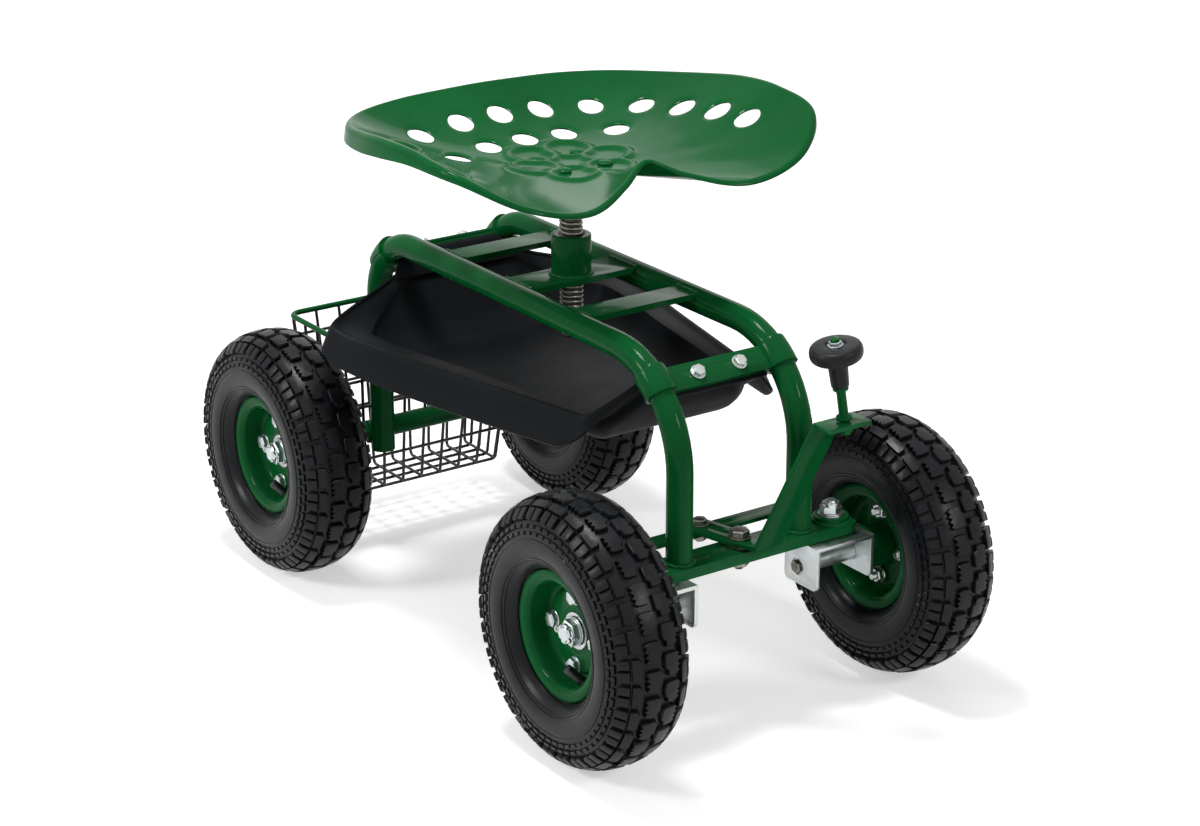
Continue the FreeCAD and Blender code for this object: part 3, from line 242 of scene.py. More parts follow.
def make_finish(name, dark, light, drift, roughness,
                bump=None, bloom=None, wear_and_highlight=None, dust=None, values=()):
    """Two tones that drift into each other, the layers over them, patchy roughness, bump and plain values.

    drift is scale and detail of the patches, roughness scale, detail, low and high, bump scale, detail,
    strength and depth in mm, bloom a colour and its patches, the edge layer and dust a colour, amount and
    scale. The edge layer lightens sharp edges: partly worn, partly a painted edge highlight.
    """
    paint = Finish(name)
    tone = paint.tint(dark, light, paint.patchy(*drift))
    if bloom:
        tone = paint.tint(tone, bloom[0], paint.patchy(*bloom[1:]))
    # Sharp edges go lighter, partly worn and partly a painted edge highlight; upward faces take dust.
    for group, layer in (("edge_wear", wear_and_highlight), ("settled_dust", dust)):
        if layer:
            tone = paint.tint(tone, layer[0], paint.group(group, Amount=layer[1], Scale=layer[2]))
    paint.feed("Base Color", tone)
    paint.feed("Roughness", paint.patchy(*roughness))
    for label, value in values:
        paint.shader.inputs[label].default_value = value
    if bump:
        scale, detail, strength, depth = bump
        dents = add_node(paint.tree, "ShaderNodeBump", {
            "Height": paint.patchy(scale, detail), "Strength": strength, "Distance": depth * MM})
        paint.feed("Normal", dents.outputs["Normal"])


def shade(colour, red, green=None, blue=None):
    """A colour times one factor, or times one for each channel."""
    green = red if green is None else green
    blue = red if blue is None else blue
    return (colour[0] * red, colour[1] * green, colour[2] * blue, 1.0)


METAL = (("Metallic", 1.0),)


def make_finishes():
    make_patchy_group()
    make_tint_group()
    # The edge mask: lighter sharp edges, partly worn and partly a painted edge highlight.
    make_mask_group("edge_wear", "Pointiness", 0.52, 0.62, 4.0)
    make_mask_group("settled_dust", "Normal", 0.2, 1.0, 6.0)
    tone = colours()
    make_finish(
        "green_enamel", shade(tone.enamel, 0.86), shade(tone.enamel, 1.14), drift=(7.0, 4.0),
        roughness=(34.0, 5.0, 0.12, 0.145), bump=(330.0, 2.0, 0.05, 0.25),
        # Lighter green on sharp edges: a little worn paint and a painted edge highlight.
        wear_and_highlight=((0.03, 0.2, 0.075, 1.0), 0.5, 90.0), dust=((0.22, 0.27, 0.22, 1.0), 0.02, 14.0),
        values=(("IOR", 1.1), ("Coat Weight", 0.04), ("Coat Roughness", 0.05)))
    make_finish(
        "black_wire_paint", shade(tone.wire_black, 0.8), shade(tone.wire_black, 1.3), drift=(30.0, 4.0),
        roughness=(60.0, 4.0, 0.28, 0.42), bump=(500.0, 2.0, 0.12, 0.2))
    make_finish(
        "tray_plastic", shade(tone.tray_black, 0.9), shade(tone.tray_black, 1.12), drift=(9.0, 5.0),
        roughness=(26.0, 5.0, 0.46, 0.54), bump=(1100.0, 3.0, 0.12, 0.12),
        # Lighter grey on the tray's edges and folds: partly worn, partly a painted edge highlight.
        wear_and_highlight=((0.04, 0.043, 0.048, 1.0), 0.4, 120.0), dust=((0.12, 0.12, 0.118, 1.0), 0.012, 22.0),
        values=(("IOR", 1.13),))
    make_finish(
        "matt_tyre_rubber", shade(tone.rubber, 0.75), shade(tone.rubber, 1.35), drift=(40.0, 6.0),
        roughness=(70.0, 5.0, 0.27, 0.42), bump=(900.0, 4.0, 0.16, 0.15),
        bloom=((0.012, 0.0132, 0.0155, 1.0), 6.0, 6.0, -0.15, 0.35), values=(("IOR", 1.26),))
    make_finish(
        "inner_tube_rubber", shade(tone.rubber, 0.9), shade(tone.rubber, 1.6), drift=(80.0, 4.0),
        roughness=(120.0, 4.0, 0.3, 0.45), bump=(1200.0, 3.0, 0.12, 0.1))
    make_finish(
        "moulded_knob_plastic", shade(tone.knob_black, 0.85), shade(tone.knob_black, 1.2),
        drift=(45.0, 5.0), roughness=(90.0, 5.0, 0.32, 0.42), bump=(1400.0, 3.0, 0.12, 0.1),
        # Lighter sharp edges of the knob: partly worn, partly a painted edge highlight.
        wear_and_highlight=((0.04, 0.04, 0.042, 1.0), 0.4, 150.0), values=(("IOR", 1.22),))
    make_finish(
        "zinc_plate", shade(tone.zinc, 0.86, 0.9, 0.95), shade(tone.zinc, 1.08), drift=(70.0, 5.0),
        roughness=(120.0, 5.0, 0.26, 0.42), bump=(420.0, 4.0, 0.06, 0.2),
        bloom=((0.62, 0.58, 0.44, 1.0), 16.0, 3.0, -0.2, 0.3), values=METAL)
    make_finish(
        "oiled_thread_steel", shade(tone.thread_steel, 0.5), shade(tone.thread_steel, 1.6),
        drift=(160.0, 6.0), roughness=(90.0, 5.0, 0.28, 0.5), bump=(700.0, 5.0, 0.2, 0.2),
        # Lighter thread crests and bolt edges: partly worn bare, partly a painted highlight.
        wear_and_highlight=((0.34, 0.33, 0.29, 1.0), 1.3, 220.0), values=METAL)
    make_finish(
        "ground_bearing_steel", (0.42, 0.43, 0.44, 1.0), (0.6, 0.6, 0.6, 1.0), drift=(150.0, 4.0),
        roughness=(200.0, 4.0, 0.2, 0.34), values=METAL)


def finish(name):
    return bpy.data.materials[name]


# Meshes.
def plain_mesh(bm, name):
    mesh = bpy.data.meshes.new(name)
    bm.to_mesh(mesh)
    bm.free()
    return mesh


def to_mesh(bm, name, angle):
    """A smooth mesh, sharp where its faces meet at more than the angle."""
    bmesh.ops.remove_doubles(bm, verts=bm.verts[:], dist=1e-7)
    bmesh.ops.recalc_face_normals(bm, faces=bm.faces[:])
    mesh = plain_mesh(bm, name)
    mesh.shade_smooth()
    mesh.set_sharp_from_angle(angle=math.radians(angle))
    return mesh


def scaled_mesh(bm, name, angle):
    """A mesh in metres from one drawn in mm."""
    bmesh.ops.scale(bm, vec=(MM, MM, MM), verts=bm.verts[:])
    return to_mesh(bm, name, angle)


def cover(mesh, material):
    mesh.materials.clear()
    mesh.materials.append(finish(material))


def linked(name, mesh):
    piece = bpy.data.objects.new(name, mesh)
    bpy.context.scene.collection.objects.link(piece)
    return piece


def add_piece(name, mesh, material, body, nodes=()):
    cover(mesh, material)
    piece = linked(name, mesh)
    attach(piece, body)
    if nodes:
        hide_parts(*nodes)


def paint_node(node, material):
    cover(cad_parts[node].data, material)


def evaluated_copy(piece):
    graph = bpy.context.evaluated_depsgraph_get()
    return bpy.data.meshes.new_from_object(piece.evaluated_get(graph), depsgraph=graph)


def drop(piece):
    mesh = piece.data
    bpy.data.objects.remove(piece)
    bpy.data.meshes.remove(mesh)


def modified(name, mesh, *steps):
    """The mesh after modifiers, each given as a kind and its settings, as a plain mesh."""
    piece = linked(name, mesh)
    for kind, settings in steps:
        step = piece.modifiers.new(kind.lower(), kind)
        for label, value in settings.items():
            setattr(step, label, value)
    result = evaluated_copy(piece)
    drop(piece)
    return result


def joined(meshes, name, angle):
    bm = bmesh.new()
    for mesh in meshes:
        bm.from_mesh(mesh)
        bpy.data.meshes.remove(mesh)
    return to_mesh(bm, name, angle)


def placed(mesh, matrix):
    mesh.transform(matrix)
    return mesh


def rounded_copy(node, width):
    """The node's own shape with its edges rounded, width in mm."""
    bm = bmesh.new()
    bm.from_mesh(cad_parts[node].data)
    bmesh.ops.remove_doubles(bm, verts=bm.verts[:], dist=2e-6)
    bmesh.ops.dissolve_limit(bm, angle_limit=math.radians(0.6), verts=bm.verts[:], edges=bm.edges[:])
    mesh = plain_mesh(bm, node + "_rounded")
    mesh.shade_smooth()
    return modified(node + "_rounding", mesh, ("BEVEL", {
        "width": width * MM, "segments": 3, "limit_method": "ANGLE", "angle_limit": math.radians(30.0),
        "harden_normals": True, "use_clamp_overlap": True}))


def bridge(bm, low, high, closed=True):
    """Faces between two rows of vertices."""
    count = len(low)
    for k in range(count if closed else count - 1):
        j = (k + 1) % count
        bm.faces.new((low[k], low[j], high[j], high[k]))


def swept_round(name, profile, steps):
    """A closed profile of (x, radius) points in mm, turned about the X axis."""
    bm = bmesh.new()
    rings = []
    for k in range(steps):
        turn = FULL_TURN * k / steps
        y = math.sin(turn) * MM
        z = math.cos(turn) * MM
        rings.append([bm.verts.new((x * MM, radius * y, radius * z)) for x, radius in profile])
    for k in range(steps):
        bridge(bm, rings[k], rings[(k + 1) % steps])
    return to_mesh(bm, name, 40.0)


def turned_stack(bm, profile, sides):
    """Rings of (radius, height) about Z, capped at both ends."""
    rings = []
    for radius, height in profile:
        ring = []
        for k in range(sides):
            turn = FULL_TURN * k / sides
            ring.append(bm.verts.new((radius * math.cos(turn), radius * math.sin(turn), height)))
        rings.append(ring)
    for low, high in zip(rings, rings[1:]):
        bridge(bm, low, high)
    bm.faces.new(list(reversed(rings[0])))
    bm.faces.new(rings[-1])


def turned_mesh(name, angle, *stacks):
    """Stacks in mm, each a profile and its number of sides, as one mesh."""
    bm = bmesh.new()
    for profile, sides in stacks:
        turned_stack(bm, profile, sides)
    return scaled_mesh(bm, name, angle)


def curve_spot(four, t):
    """A place between the second and third of four points, on a smooth line through them."""
    a, b, c, d = [Vector(point) for point in four]
    return 0.5 * (2.0 * b + (c - a) * t + (2.0 * a - 5.0 * b + 4.0 * c - d) * t ** 2
                  + (3.0 * b - a - 3.0 * c + d) * t ** 3)


def spline(points, steps):
    """A smooth line through the points, the same number of steps in each stretch."""
    found = []
    last = len(points) - 1
    for k in range(last):
        four = (points[max(k - 1, 0)], points[k], points[k + 1], points[min(k + 2, last)])
        found += [tuple(curve_spot(four, i / steps)) for i in range(steps)]
    found.append(tuple(points[-1]))
    return found


# Geometry Nodes trees.
BEND_STEPS = 14
BEAD_SIDES = 8
RIPPLE_SCALE = 260.0
THREAD_SIDES = 8
THREAD_STEPS = 36


def node_tree(name, inputs):
    tree = bpy.data.node_groups.new(name, "GeometryNodeTree")
    add_inputs(tree, (("Geometry", "NodeSocketGeometry", None),) + inputs)
    add_inputs(tree, (("Material", "NodeSocketMaterial", None),))
    tree.interface.new_socket("Geometry", in_out="OUTPUT", socket_type="NodeSocketGeometry")
    return tree, tree.nodes.new("NodeGroupInput").outputs


def close_tree(tree, given, geometry):
    real = add_node(tree, "GeometryNodeRealizeInstances", {"Geometry": geometry})
    covered = add_node(tree, "GeometryNodeSetMaterial", {
        "Geometry": real.outputs["Geometry"], "Material": given["Material"]})
    add_node(tree, "NodeGroupOutput", {"Geometry": covered.outputs["Geometry"]})


def run_tree(tree_name, mesh, material, **values):
    """The tree's result on a mesh, as a plain mesh."""
    tree = bpy.data.node_groups[tree_name]
    piece = linked(tree_name + "_source", mesh)
    shape = piece.modifiers.new("shape", "NODES")
    shape.node_group = tree
    values["Material"] = finish(material)
    for item in tree.interface.items_tree:
        if item.item_type == "SOCKET" and item.in_out == "INPUT" and item.name in values:
            shape[item.identifier] = values[item.name]
    result = evaluated_copy(piece)
    drop(piece)
    return result


def swept_ring(tree, curve, radius, sides):
    ring = add_node(tree, "GeometryNodeCurvePrimitiveCircle", {"Radius": radius, "Resolution": sides})
    sweep = add_node(tree, "GeometryNodeCurveToMesh", {
        "Curve": curve, "Profile Curve": ring.outputs["Curve"], "Fill Caps": True})
    return sweep.outputs["Mesh"]


def shaded_smooth(tree, mesh):
    return add_node(tree, "GeometryNodeSetShadeSmooth", {"Geometry": mesh}).outputs["Geometry"]


def named_value(tree, name, kind):
    value = add_node(tree, "GeometryNodeInputNamedAttribute", {"Name": name}, data_type=kind)
    return value.outputs["Attribute"]


def copies_at(tree, points, shape, rotation):
    copies = add_node(tree, "GeometryNodeInstanceOnPoints", {
        "Points": points, "Instance": shape, "Rotation": rotation})
    return copies.outputs["Instances"]


def make_rod_tree():
    """A round rod along the mesh's edges, bent at each corner."""
    tree, given = node_tree("bent_rod", (
        ("Radius", "NodeSocketFloat", 2.0 * MM),
        ("Sides", "NodeSocketInt", 16),
    ))
    line = add_node(tree, "GeometryNodeMeshToCurve", {"Mesh": given["Geometry"]})
    fillet = add_node(tree, "GeometryNodeFilletCurve", {
        "Curve": line.outputs["Curve"], "Radius": named_value(tree, "bend", "FLOAT"),
        "Count": BEND_STEPS, "Limit Radius": True}, mode="POLY")
    rod = swept_ring(tree, fillet.outputs["Curve"], given["Radius"], given["Sides"])
    close_tree(tree, given, shaded_smooth(tree, rod))


def make_weld_tree():
    """A rippled bead along the mesh's edges."""
    tree, given = node_tree("weld_bead", (
        ("Radius", "NodeSocketFloat", 2.0 * MM),
        ("Ripple", "NodeSocketFloat", 0.5 * MM),
        ("Step", "NodeSocketFloat", 0.9 * MM),
    ))
    line = add_node(tree, "GeometryNodeMeshToCurve", {"Mesh": given["Geometry"]})
    points = add_node(tree, "GeometryNodeResampleCurve", {
        "Curve": line.outputs["Curve"], "Length": given["Step"]}, mode="LENGTH")
    bead = swept_ring(tree, points.outputs["Curve"], given["Radius"], BEAD_SIDES)
    noise = add_node(tree, "ShaderNodeTexNoise", {"Scale": RIPPLE_SCALE, "Detail": 1.0})
    centred = math_node(tree, "SUBTRACT", noise.outputs[0], 0.5)
    height = math_node(tree, "MULTIPLY", centred, given["Ripple"])
    normal = tree.nodes.new("GeometryNodeInputNormal").outputs["Normal"]
    push = add_node(tree, "ShaderNodeVectorMath", {0: normal, "Scale": height}, operation="SCALE")
    rippled = add_node(tree, "GeometryNodeSetPosition", {
        "Geometry": bead, "Offset": push.outputs["Vector"]})
    close_tree(tree, given, shaded_smooth(tree, rippled.outputs["Geometry"]))


def make_ring_tree():
    """The mesh repeated round the X axis."""
    tree, given = node_tree("tread_ring", (("Count", "NodeSocketInt", 30),))
    line = add_node(tree, "GeometryNodeMeshLine", {"Count": given["Count"], "Offset": (0.0, 0.0, 0.0)})
    index = tree.nodes.new("GeometryNodeInputIndex").outputs[0]
    share = math_node(tree, "DIVIDE", index, given["Count"])
    turn = math_node(tree, "MULTIPLY", share, FULL_TURN)
    angles = add_node(tree, "ShaderNodeCombineXYZ", {"X": turn})
    rotation = add_node(tree, "FunctionNodeEulerToRotation", {0: angles.outputs[0]})
    close_tree(tree, given, copies_at(tree, line.outputs["Mesh"], given["Geometry"], rotation.outputs[0]))


def make_fastener_tree():
    """A fastener at each point, aimed and spun by the points' own values."""
    tree, given = node_tree("fasteners", (("Fastener", "NodeSocketObject", None),))
    shape = add_node(tree, "GeometryNodeObjectInfo", {"Object": given["Fastener"]})
    angles = add_node(tree, "ShaderNodeCombineXYZ", {"Z": named_value(tree, "spin", "FLOAT")})
    start = add_node(tree, "FunctionNodeEulerToRotation", {0: angles.outputs[0]})
    align = add_node(tree, "FunctionNodeAlignRotationToVector", {
        "Rotation": start.outputs[0], "Vector": named_value(tree, "aim", "FLOAT_VECTOR")}, axis="Z")
    close_tree(tree, given, copies_at(tree, given["Geometry"], shape.outputs["Geometry"], align.outputs[0]))


def make_thread_tree():
    """A round ridge wound along +Z, joined to the mesh."""
    tree, given = node_tree("screw_thread", (
        ("Crest Radius", "NodeSocketFloat", 12.0 * MM),
        ("Pitch", "NodeSocketFloat", 4.5 * MM),
        ("Length", "NodeSocketFloat", 0.1),
    ))
    ridge = math_node(tree, "MULTIPLY", given["Pitch"], 0.5)
    root = math_node(tree, "SUBTRACT", given["Crest Radius"], ridge)
    turns = math_node(tree, "DIVIDE", given["Length"], given["Pitch"])
    helix = add_node(tree, "GeometryNodeCurveSpiral", {
        "Resolution": THREAD_STEPS, "Rotations": turns, "Start Radius": root, "End Radius": root,
        "Height": given["Length"]})
    upright = add_node(tree, "GeometryNodeSetCurveNormal", {"Curve": helix.outputs["Curve"]}, mode="Z_UP")
    thread = swept_ring(tree, upright.outputs["Curve"], ridge, THREAD_SIDES)
    both = add_node(tree, "GeometryNodeJoinGeometry", {"Geometry": thread})
    tree.links.new(given["Geometry"], both.inputs["Geometry"])
    close_tree(tree, given, both.outputs["Geometry"])


def make_trees():
    make_rod_tree()
    make_weld_tree()
    make_ring_tree()
    make_fastener_tree()
    make_thread_tree()


def line_mesh(lines, bends=None, closed=False):
    """Edges only: each line is a list of points, with a bend radius at each."""
    mesh = bpy.data.meshes.new("lines")
    points = []
    edges = []
    radii = []
    for k, line in enumerate(lines):
        start = len(points)
        points += [tuple(p) for p in line]
        edges += [(start + i, start + i + 1) for i in range(len(line) - 1)]
        if closed:
            edges.append((start + len(line) - 1, start))
        radii += bends[k] if bends else [0.0] * len(line)
    mesh.from_pydata(points, edges, [])
    layer = mesh.attributes.new("bend", "FLOAT", "POINT")
    layer.data.foreach_set("value", radii)
    return mesh


def rods(lines, bends, material, radius, sides, closed=False):
    return run_tree("bent_rod", line_mesh(lines, bends, closed), material, Radius=radius, Sides=sides)


def circle_points(centre, first, second, radius, count=48, start=0.0, sweep=FULL_TURN):
    """Points round a centre in the plane of two directions, closed or over a part of the turn."""
    steps = count if sweep == FULL_TURN else count - 1
    points = []
    for k in range(count):
        turn = start + sweep * k / steps
        points.append(Vector(centre) + Vector(first) * (radius * math.cos(turn))
                      + Vector(second) * (radius * math.sin(turn)))
    return points


def flat_circle(x, y, z, radius):
    return circle_points((x, y, z), (1, 0, 0), (0, 1, 0), radius)


def fasten(template, places, material="zinc_plate"):
    """Copies of a template at (point, aim, spin) places, as one plain mesh."""
    mesh = bpy.data.meshes.new("places")
    mesh.from_pydata([tuple(point) for point, _, _ in places], [], [])
    mesh.attributes.new("aim", "FLOAT_VECTOR", "POINT")
    mesh.attributes.new("spin", "FLOAT", "POINT")
    flat = []
    for _, aim, _ in places:
        flat += list(aim)
    mesh.attributes["aim"].data.foreach_set("vector", flat)
    mesh.attributes["spin"].data.foreach_set("value", [spin for _, _, spin in places])
    model = linked("fastener_model", template)
    result = run_tree("fasteners", mesh, material, Fastener=model)
    drop(model)
    return result


# Fasteners in mm, drawn along +Z from the face that they sit on.
FASTENER_ANGLE = 30.0


def hex_stack(flats, low, high, chamfer=0.9):
    reach = flats / math.sqrt(3.0)
    foot = [(reach * 0.97, low), (reach, low + 0.3 * chamfer)]
    return (foot + [(reach, high - chamfer), (reach * 0.88, high)], 6)


def washer(radius, low, high):
    edge = 0.35
    return ([(radius - edge, low), (radius, low + edge), (radius, high - edge), (radius - edge, high)], 28)


def threaded_tip(radius, low, high, pitch=1.25):
    rings = []
    z = low
    while z < high - pitch:
        rings += [(radius * 0.88, z), (radius, z + 0.5 * pitch)]
        z += pitch
    return (rings + [(radius * 0.9, z), (radius * 0.78, high)], 18)


def hex_on_washer(flats, height, washer_r, washer_h):
    stacks = [washer(washer_r, 0.0, washer_h)] if washer_r else []
    return stacks + [hex_stack(flats, washer_h, washer_h + height)]


def hex_head(flats, height, washer_r=0.0, washer_h=0.0):
    top = washer_h + height
    dish = flats * 0.4
    crown = ([(dish, top - 0.2), (dish, top + 0.15), (dish * 0.8, top + 0.35)], 24)
    return turned_mesh("head", FASTENER_ANGLE, *hex_on_washer(flats, height, washer_r, washer_h), crown)


def hex_nut(flats, height, stud_r, tip, washer_r=0.0, washer_h=0.0):
    top = washer_h + height
    stud = threaded_tip(stud_r, top - 1.0, top + tip)
    return turned_mesh("nut", FASTENER_ANGLE, *hex_on_washer(flats, height, washer_r, washer_h), stud)


def lock_nut(flats, height, washer_r, stud_r, tip):
    """Two stacked washers, a hex and a narrower crown with the stud's tip."""
    foot = 3.0
    top = foot + height
    crown = flats * 0.46
    return turned_mesh(
        "lock_nut", FASTENER_ANGLE,
        washer(washer_r, 0.0, 1.6),
        washer(washer_r * 0.88, 1.6, foot),
        hex_stack(flats, foot, top, 1.0),
        ([(crown, top - 0.3), (crown, top + 2.4), (crown * 0.86, top + 3.6)], 30),
        threaded_tip(stud_r, top + 3.0, top + 3.6 + tip, 1.5))


def round_head(radius, height):
    rings = [(radius * 0.98, 0.0), (radius, 0.3)]
    for k in range(1, 6):
        turn = 0.5 * math.pi * k / 6.0
        rings.append((radius * math.cos(turn), 0.3 + height * math.sin(turn)))
    return turned_mesh("round_head", FASTENER_ANGLE, (rings, 28))


def castle_nut():
    """Two washers, a hex, the axle's end and six prongs round it."""
    bm = bmesh.new()
    turned_stack(bm, *washer(14.0, 0.4, 1.9))
    turned_stack(bm, *washer(12.6, 1.9, 3.0))
    turned_stack(bm, *hex_stack(22.0, 3.0, 9.4, 1.0))
    turned_stack(bm, [(7.6, 8.0), (7.6, 12.4), (6.6, 13.6)], 24)
    inner = 7.9
    outer = 9.6
    prong = ((inner, 9.0), (outer, 9.0), (outer, 12.2), (outer - 0.5, 12.7), (inner, 12.7))
    for k in range(6):
        rows = []
        for i in range(6):
            turn = math.radians(60.0 * k + 10.0 + 8.0 * i)
            rows.append([bm.verts.new((r * math.cos(turn), r * math.sin(turn), z)) for r, z in prong])
        for first, second in zip(rows, rows[1:]):
            bridge(bm, first, second)
        bm.faces.new(list(reversed(rows[0])))
        bm.faces.new(rows[-1])
    return scaled_mesh(bm, "castle_nut", FASTENER_ANGLE)


# Tyres, in mm.
TYRE_CROWN = 130.0
# Outer line of the carcass from the crown to the rim: x, drop below the crown.
CARCASS = (
    (0.0, 0.0), (8.0, 0.5), (16.0, 1.9), (23.0, 4.4), (29.0, 8.0), (33.2, 12.6), (36.2, 18.5), (38.4, 25.5),
    (39.9, 34.0), (40.2, 40.0), (39.4, 47.0), (37.2, 53.0), (33.2, 58.0), (29.0, 61.0), (26.6, 62.0),
)
# The bead from the carcass to the well of the rim: x, radius.
BEAD = [(25.4, 66.4), (25.0, 65.2), (24.6, 63.9), (23.9, 63.4), (23.4, 62.0), (23.4, 51.0), (18.0, 51.0)]
BEAD_FOOT = [(18.0, 57.0), (-18.0, 57.0)]
# Outlines of the tread's lugs: way round the tyre, way across it.
BLOCK = ((-10.4, -6.2), (-8.2, -7.6), (3.4, -7.6), (5.4, -4.6), (10.4, -4.6), (10.4, 3.4), (8.0, 7.2),
         (5.4, 4.2), (2.6, 7.8), (-0.2, 4.6), (-3.0, 7.8), (-5.8, 4.8), (-8.4, 7.4), (-10.4, 4.6))
SHOULDER = (
    ((-10.8, -7.4), (-8.4, -9.2), (8.4, -9.2), (10.8, -7.4), (10.8, -1.2), (-10.8, -1.2)),
    ((-10.8, 0.6), (-1.2, 0.6), (-1.2, 10.8), (-9.0, 10.8), (-10.8, 8.4)),
    ((1.2, 0.6), (10.8, 0.6), (10.8, 8.4), (9.0, 10.8), (1.2, 10.8)),
)
DASH = ((-4.6, -1.7), (4.6, -1.7), (4.6, 1.7), (-4.6, 1.7))
BLOCK_ROW = 9.2
SHOULDER_ROW = 29.4
# Rows of dashes on the sidewall: place across, height, shift as a share of the pitch.
DASH_ROWS = ((45.6, 2.2, 0.0), (52.0, 1.7, 0.25))
# Places across of the thin moulded rings.
RIB_ROWS = (58.0, 76.0, 79.5)
TYRE_STEPS = 120
RIB_STEPS = 96


class CarcassMap:
    """Places given round the tyre and across its carcass."""

    def __init__(self, crown):
        self.line = [Vector(p) for p in spline([(x, crown - fall) for x, fall in CARCASS], 6)]
        self.reach = [0.0]
        for first, second in zip(self.line, self.line[1:]):
            self.reach.append(self.reach[-1] + (second - first).length)

    def spot(self, across):
        side = -1.0 if across < 0.0 else 1.0
        goal = min(abs(across), self.reach[-1] - 0.01)
        k = 0
        while self.reach[k + 1] < goal:
            k += 1
        step = self.line[k + 1] - self.line[k]
        share = (goal - self.reach[k]) / (self.reach[k + 1] - self.reach[k])
        point = self.line[k] + step * share
        normal = Vector((-step.y, step.x)).normalized()
        return side * point.x, point.y, side * normal.x, normal.y

    def place(self, round_way, across, height):
        x, radius, nx, nr = self.spot(across)
        turn = round_way / TYRE_CROWN
        reach = radius + nr * height
        return ((x + nx * height) * MM, reach * math.sin(turn) * MM, reach * math.cos(turn) * MM)


def add_lug(bm, carcass, outline, height, inset):
    """A raised lug on the carcass, its top set in from its foot."""
    count = len(outline)
    centre_u = sum(p[0] for p in outline) / count
    centre_v = sum(p[1] for p in outline) / count
    span = max(math.hypot(u - centre_u, v - centre_v) for u, v in outline)
    levels = ((1.0 + 0.9 / span, -1.0), (1.0, height - inset), (1.0 - inset / span, height), (0.45, height))
    rings = []
    for scale, level in levels:
        ring = []
        for u, v in outline:
            round_way = centre_u + (u - centre_u) * scale
            across = centre_v + (v - centre_v) * scale
            ring.append(bm.verts.new(carcass.place(round_way, across, level)))
        rings.append(ring)
    for low, high in zip(rings, rings[1:]):
        bridge(bm, low, high)
    hub = bm.verts.new(carcass.place(centre_u, centre_v, height))
    for k in range(count):
        bm.faces.new((rings[-1][k], rings[-1][(k + 1) % count], hub))


def moved(outline, du, dv, flip):
    return [(du + u, flip * (dv + v)) for u, v in outline]


def tread_module(carcass, height, pitches):
    """One pitch of the tread on both halves of the tyre."""
    pitch = FULL_TURN * TYRE_CROWN / pitches
    bm = bmesh.new()
    for side in (-1.0, 1.0):
        shift = 0.0 if side < 0.0 else 0.5 * pitch
        add_lug(bm, carcass, moved(BLOCK, shift, BLOCK_ROW, side), height, 0.7)
        for part in SHOULDER:
            outline = moved(part, shift + 0.5 * pitch, SHOULDER_ROW, side)
            add_lug(bm, carcass, outline, height * 0.96, 0.6)
        for row, level, lean in DASH_ROWS:
            for k in (0.0, 0.5):
                add_lug(bm, carcass, moved(DASH, shift + (k + lean) * pitch, row, side), level, 0.5)
    return to_mesh(bm, "tread_module", 40.0)


def ring_rib(x, radius, nx, nr):
    """Profile of a thin moulded ring at a place of the sidewall with its normal."""
    half = 0.7
    height = 0.7
    profile = []
    for t, h in ((-half - 0.6, -0.4), (-half, height), (half, height), (half + 0.6, -0.4)):
        profile.append((x - nr * t + nx * h, radius + nx * t + nr * h))
    return profile


def make_tyre_mesh():
    height = sizes().tread_height / MM
    pitches = sizes().tread_pitches
    carcass = CarcassMap(TYRE_CROWN - height)
    module = tread_module(carcass, height, pitches)
    side = [tuple(p) for p in carcass.line] + BEAD
    profile = [(-x, r) for x, r in reversed(side[1:])] + side + BEAD_FOOT
    meshes = [swept_round("carcass", profile, TYRE_STEPS)]
    meshes.append(run_tree("tread_ring", module, "matt_tyre_rubber", Count=pitches))
    for across in RIB_ROWS:
        for way in (-1.0, 1.0):
            meshes.append(swept_round("rib", ring_rib(*carcass.spot(way * across)), RIB_STEPS))
    return joined(meshes, "tyre", 38.0)


# Rims, in mm: lines of (x, radius) from the lip to the hub.
LIP = [(24.0, 62.0), (25.2, 62.4), (26.4, 61.8), (27.1, 60.2), (27.3, 58.0), (27.0, 55.4), (26.2, 53.0),
       (24.6, 50.7), (22.4, 49.2), (19.0, 48.5)]
BARREL = [(19.0, 48.5), (9.0, 47.4), (5.6, 46.2), (3.6, 44.2), (2.6, 41.8)]
STEP = [(2.6, 41.8), (2.7, 40.8), (3.4, 40.0), (4.8, 39.4), (5.4, 38.6), (5.6, 37.4)]
RIM_SHEET = 2.2
RIM_STEPS = 112
HUB_R = 22.0
HUB_BORE = 17.7
RIM_BOLT_RADIUS = 34.0
RIM_HEAD_X = 5.6
RIM_NUT_X = -4.7
NIPPLE = [(3.2, -0.5), (3.2, 2.0), (2.0, 2.6), (2.0, 5.0), (2.7, 5.8), (2.2, 7.2), (1.2, 7.8)]
NIPPLE_X = -20.0
VALVE = [(6.2, -2.0), (6.0, 0.6), (5.0, 2.4), (4.6, 5.0), (4.2, 11.0), (4.0, 13.0), (4.5, 13.3),
         (4.6, 20.5), (4.2, 21.8), (2.8, 22.4)]
VALVE_X = 11.0
VALVE_ROOT = 47.2
VALVE_TURN = math.radians(205.0)
VALVE_LEAN = Vector((0.62, 0.0, -0.78))


def sheet_profile(face):
    """A closed profile: the face, then its back at the sheet's thickness."""
    back = []
    for k in range(len(face)):
        first = Vector(face[max(k - 1, 0)])
        second = Vector(face[min(k + 1, len(face) - 1)])
        step = (second - first).normalized()
        back.append(tuple(Vector(face[k]) + Vector((step.y, -step.x)) * RIM_SHEET))
    return face + list(reversed(back))


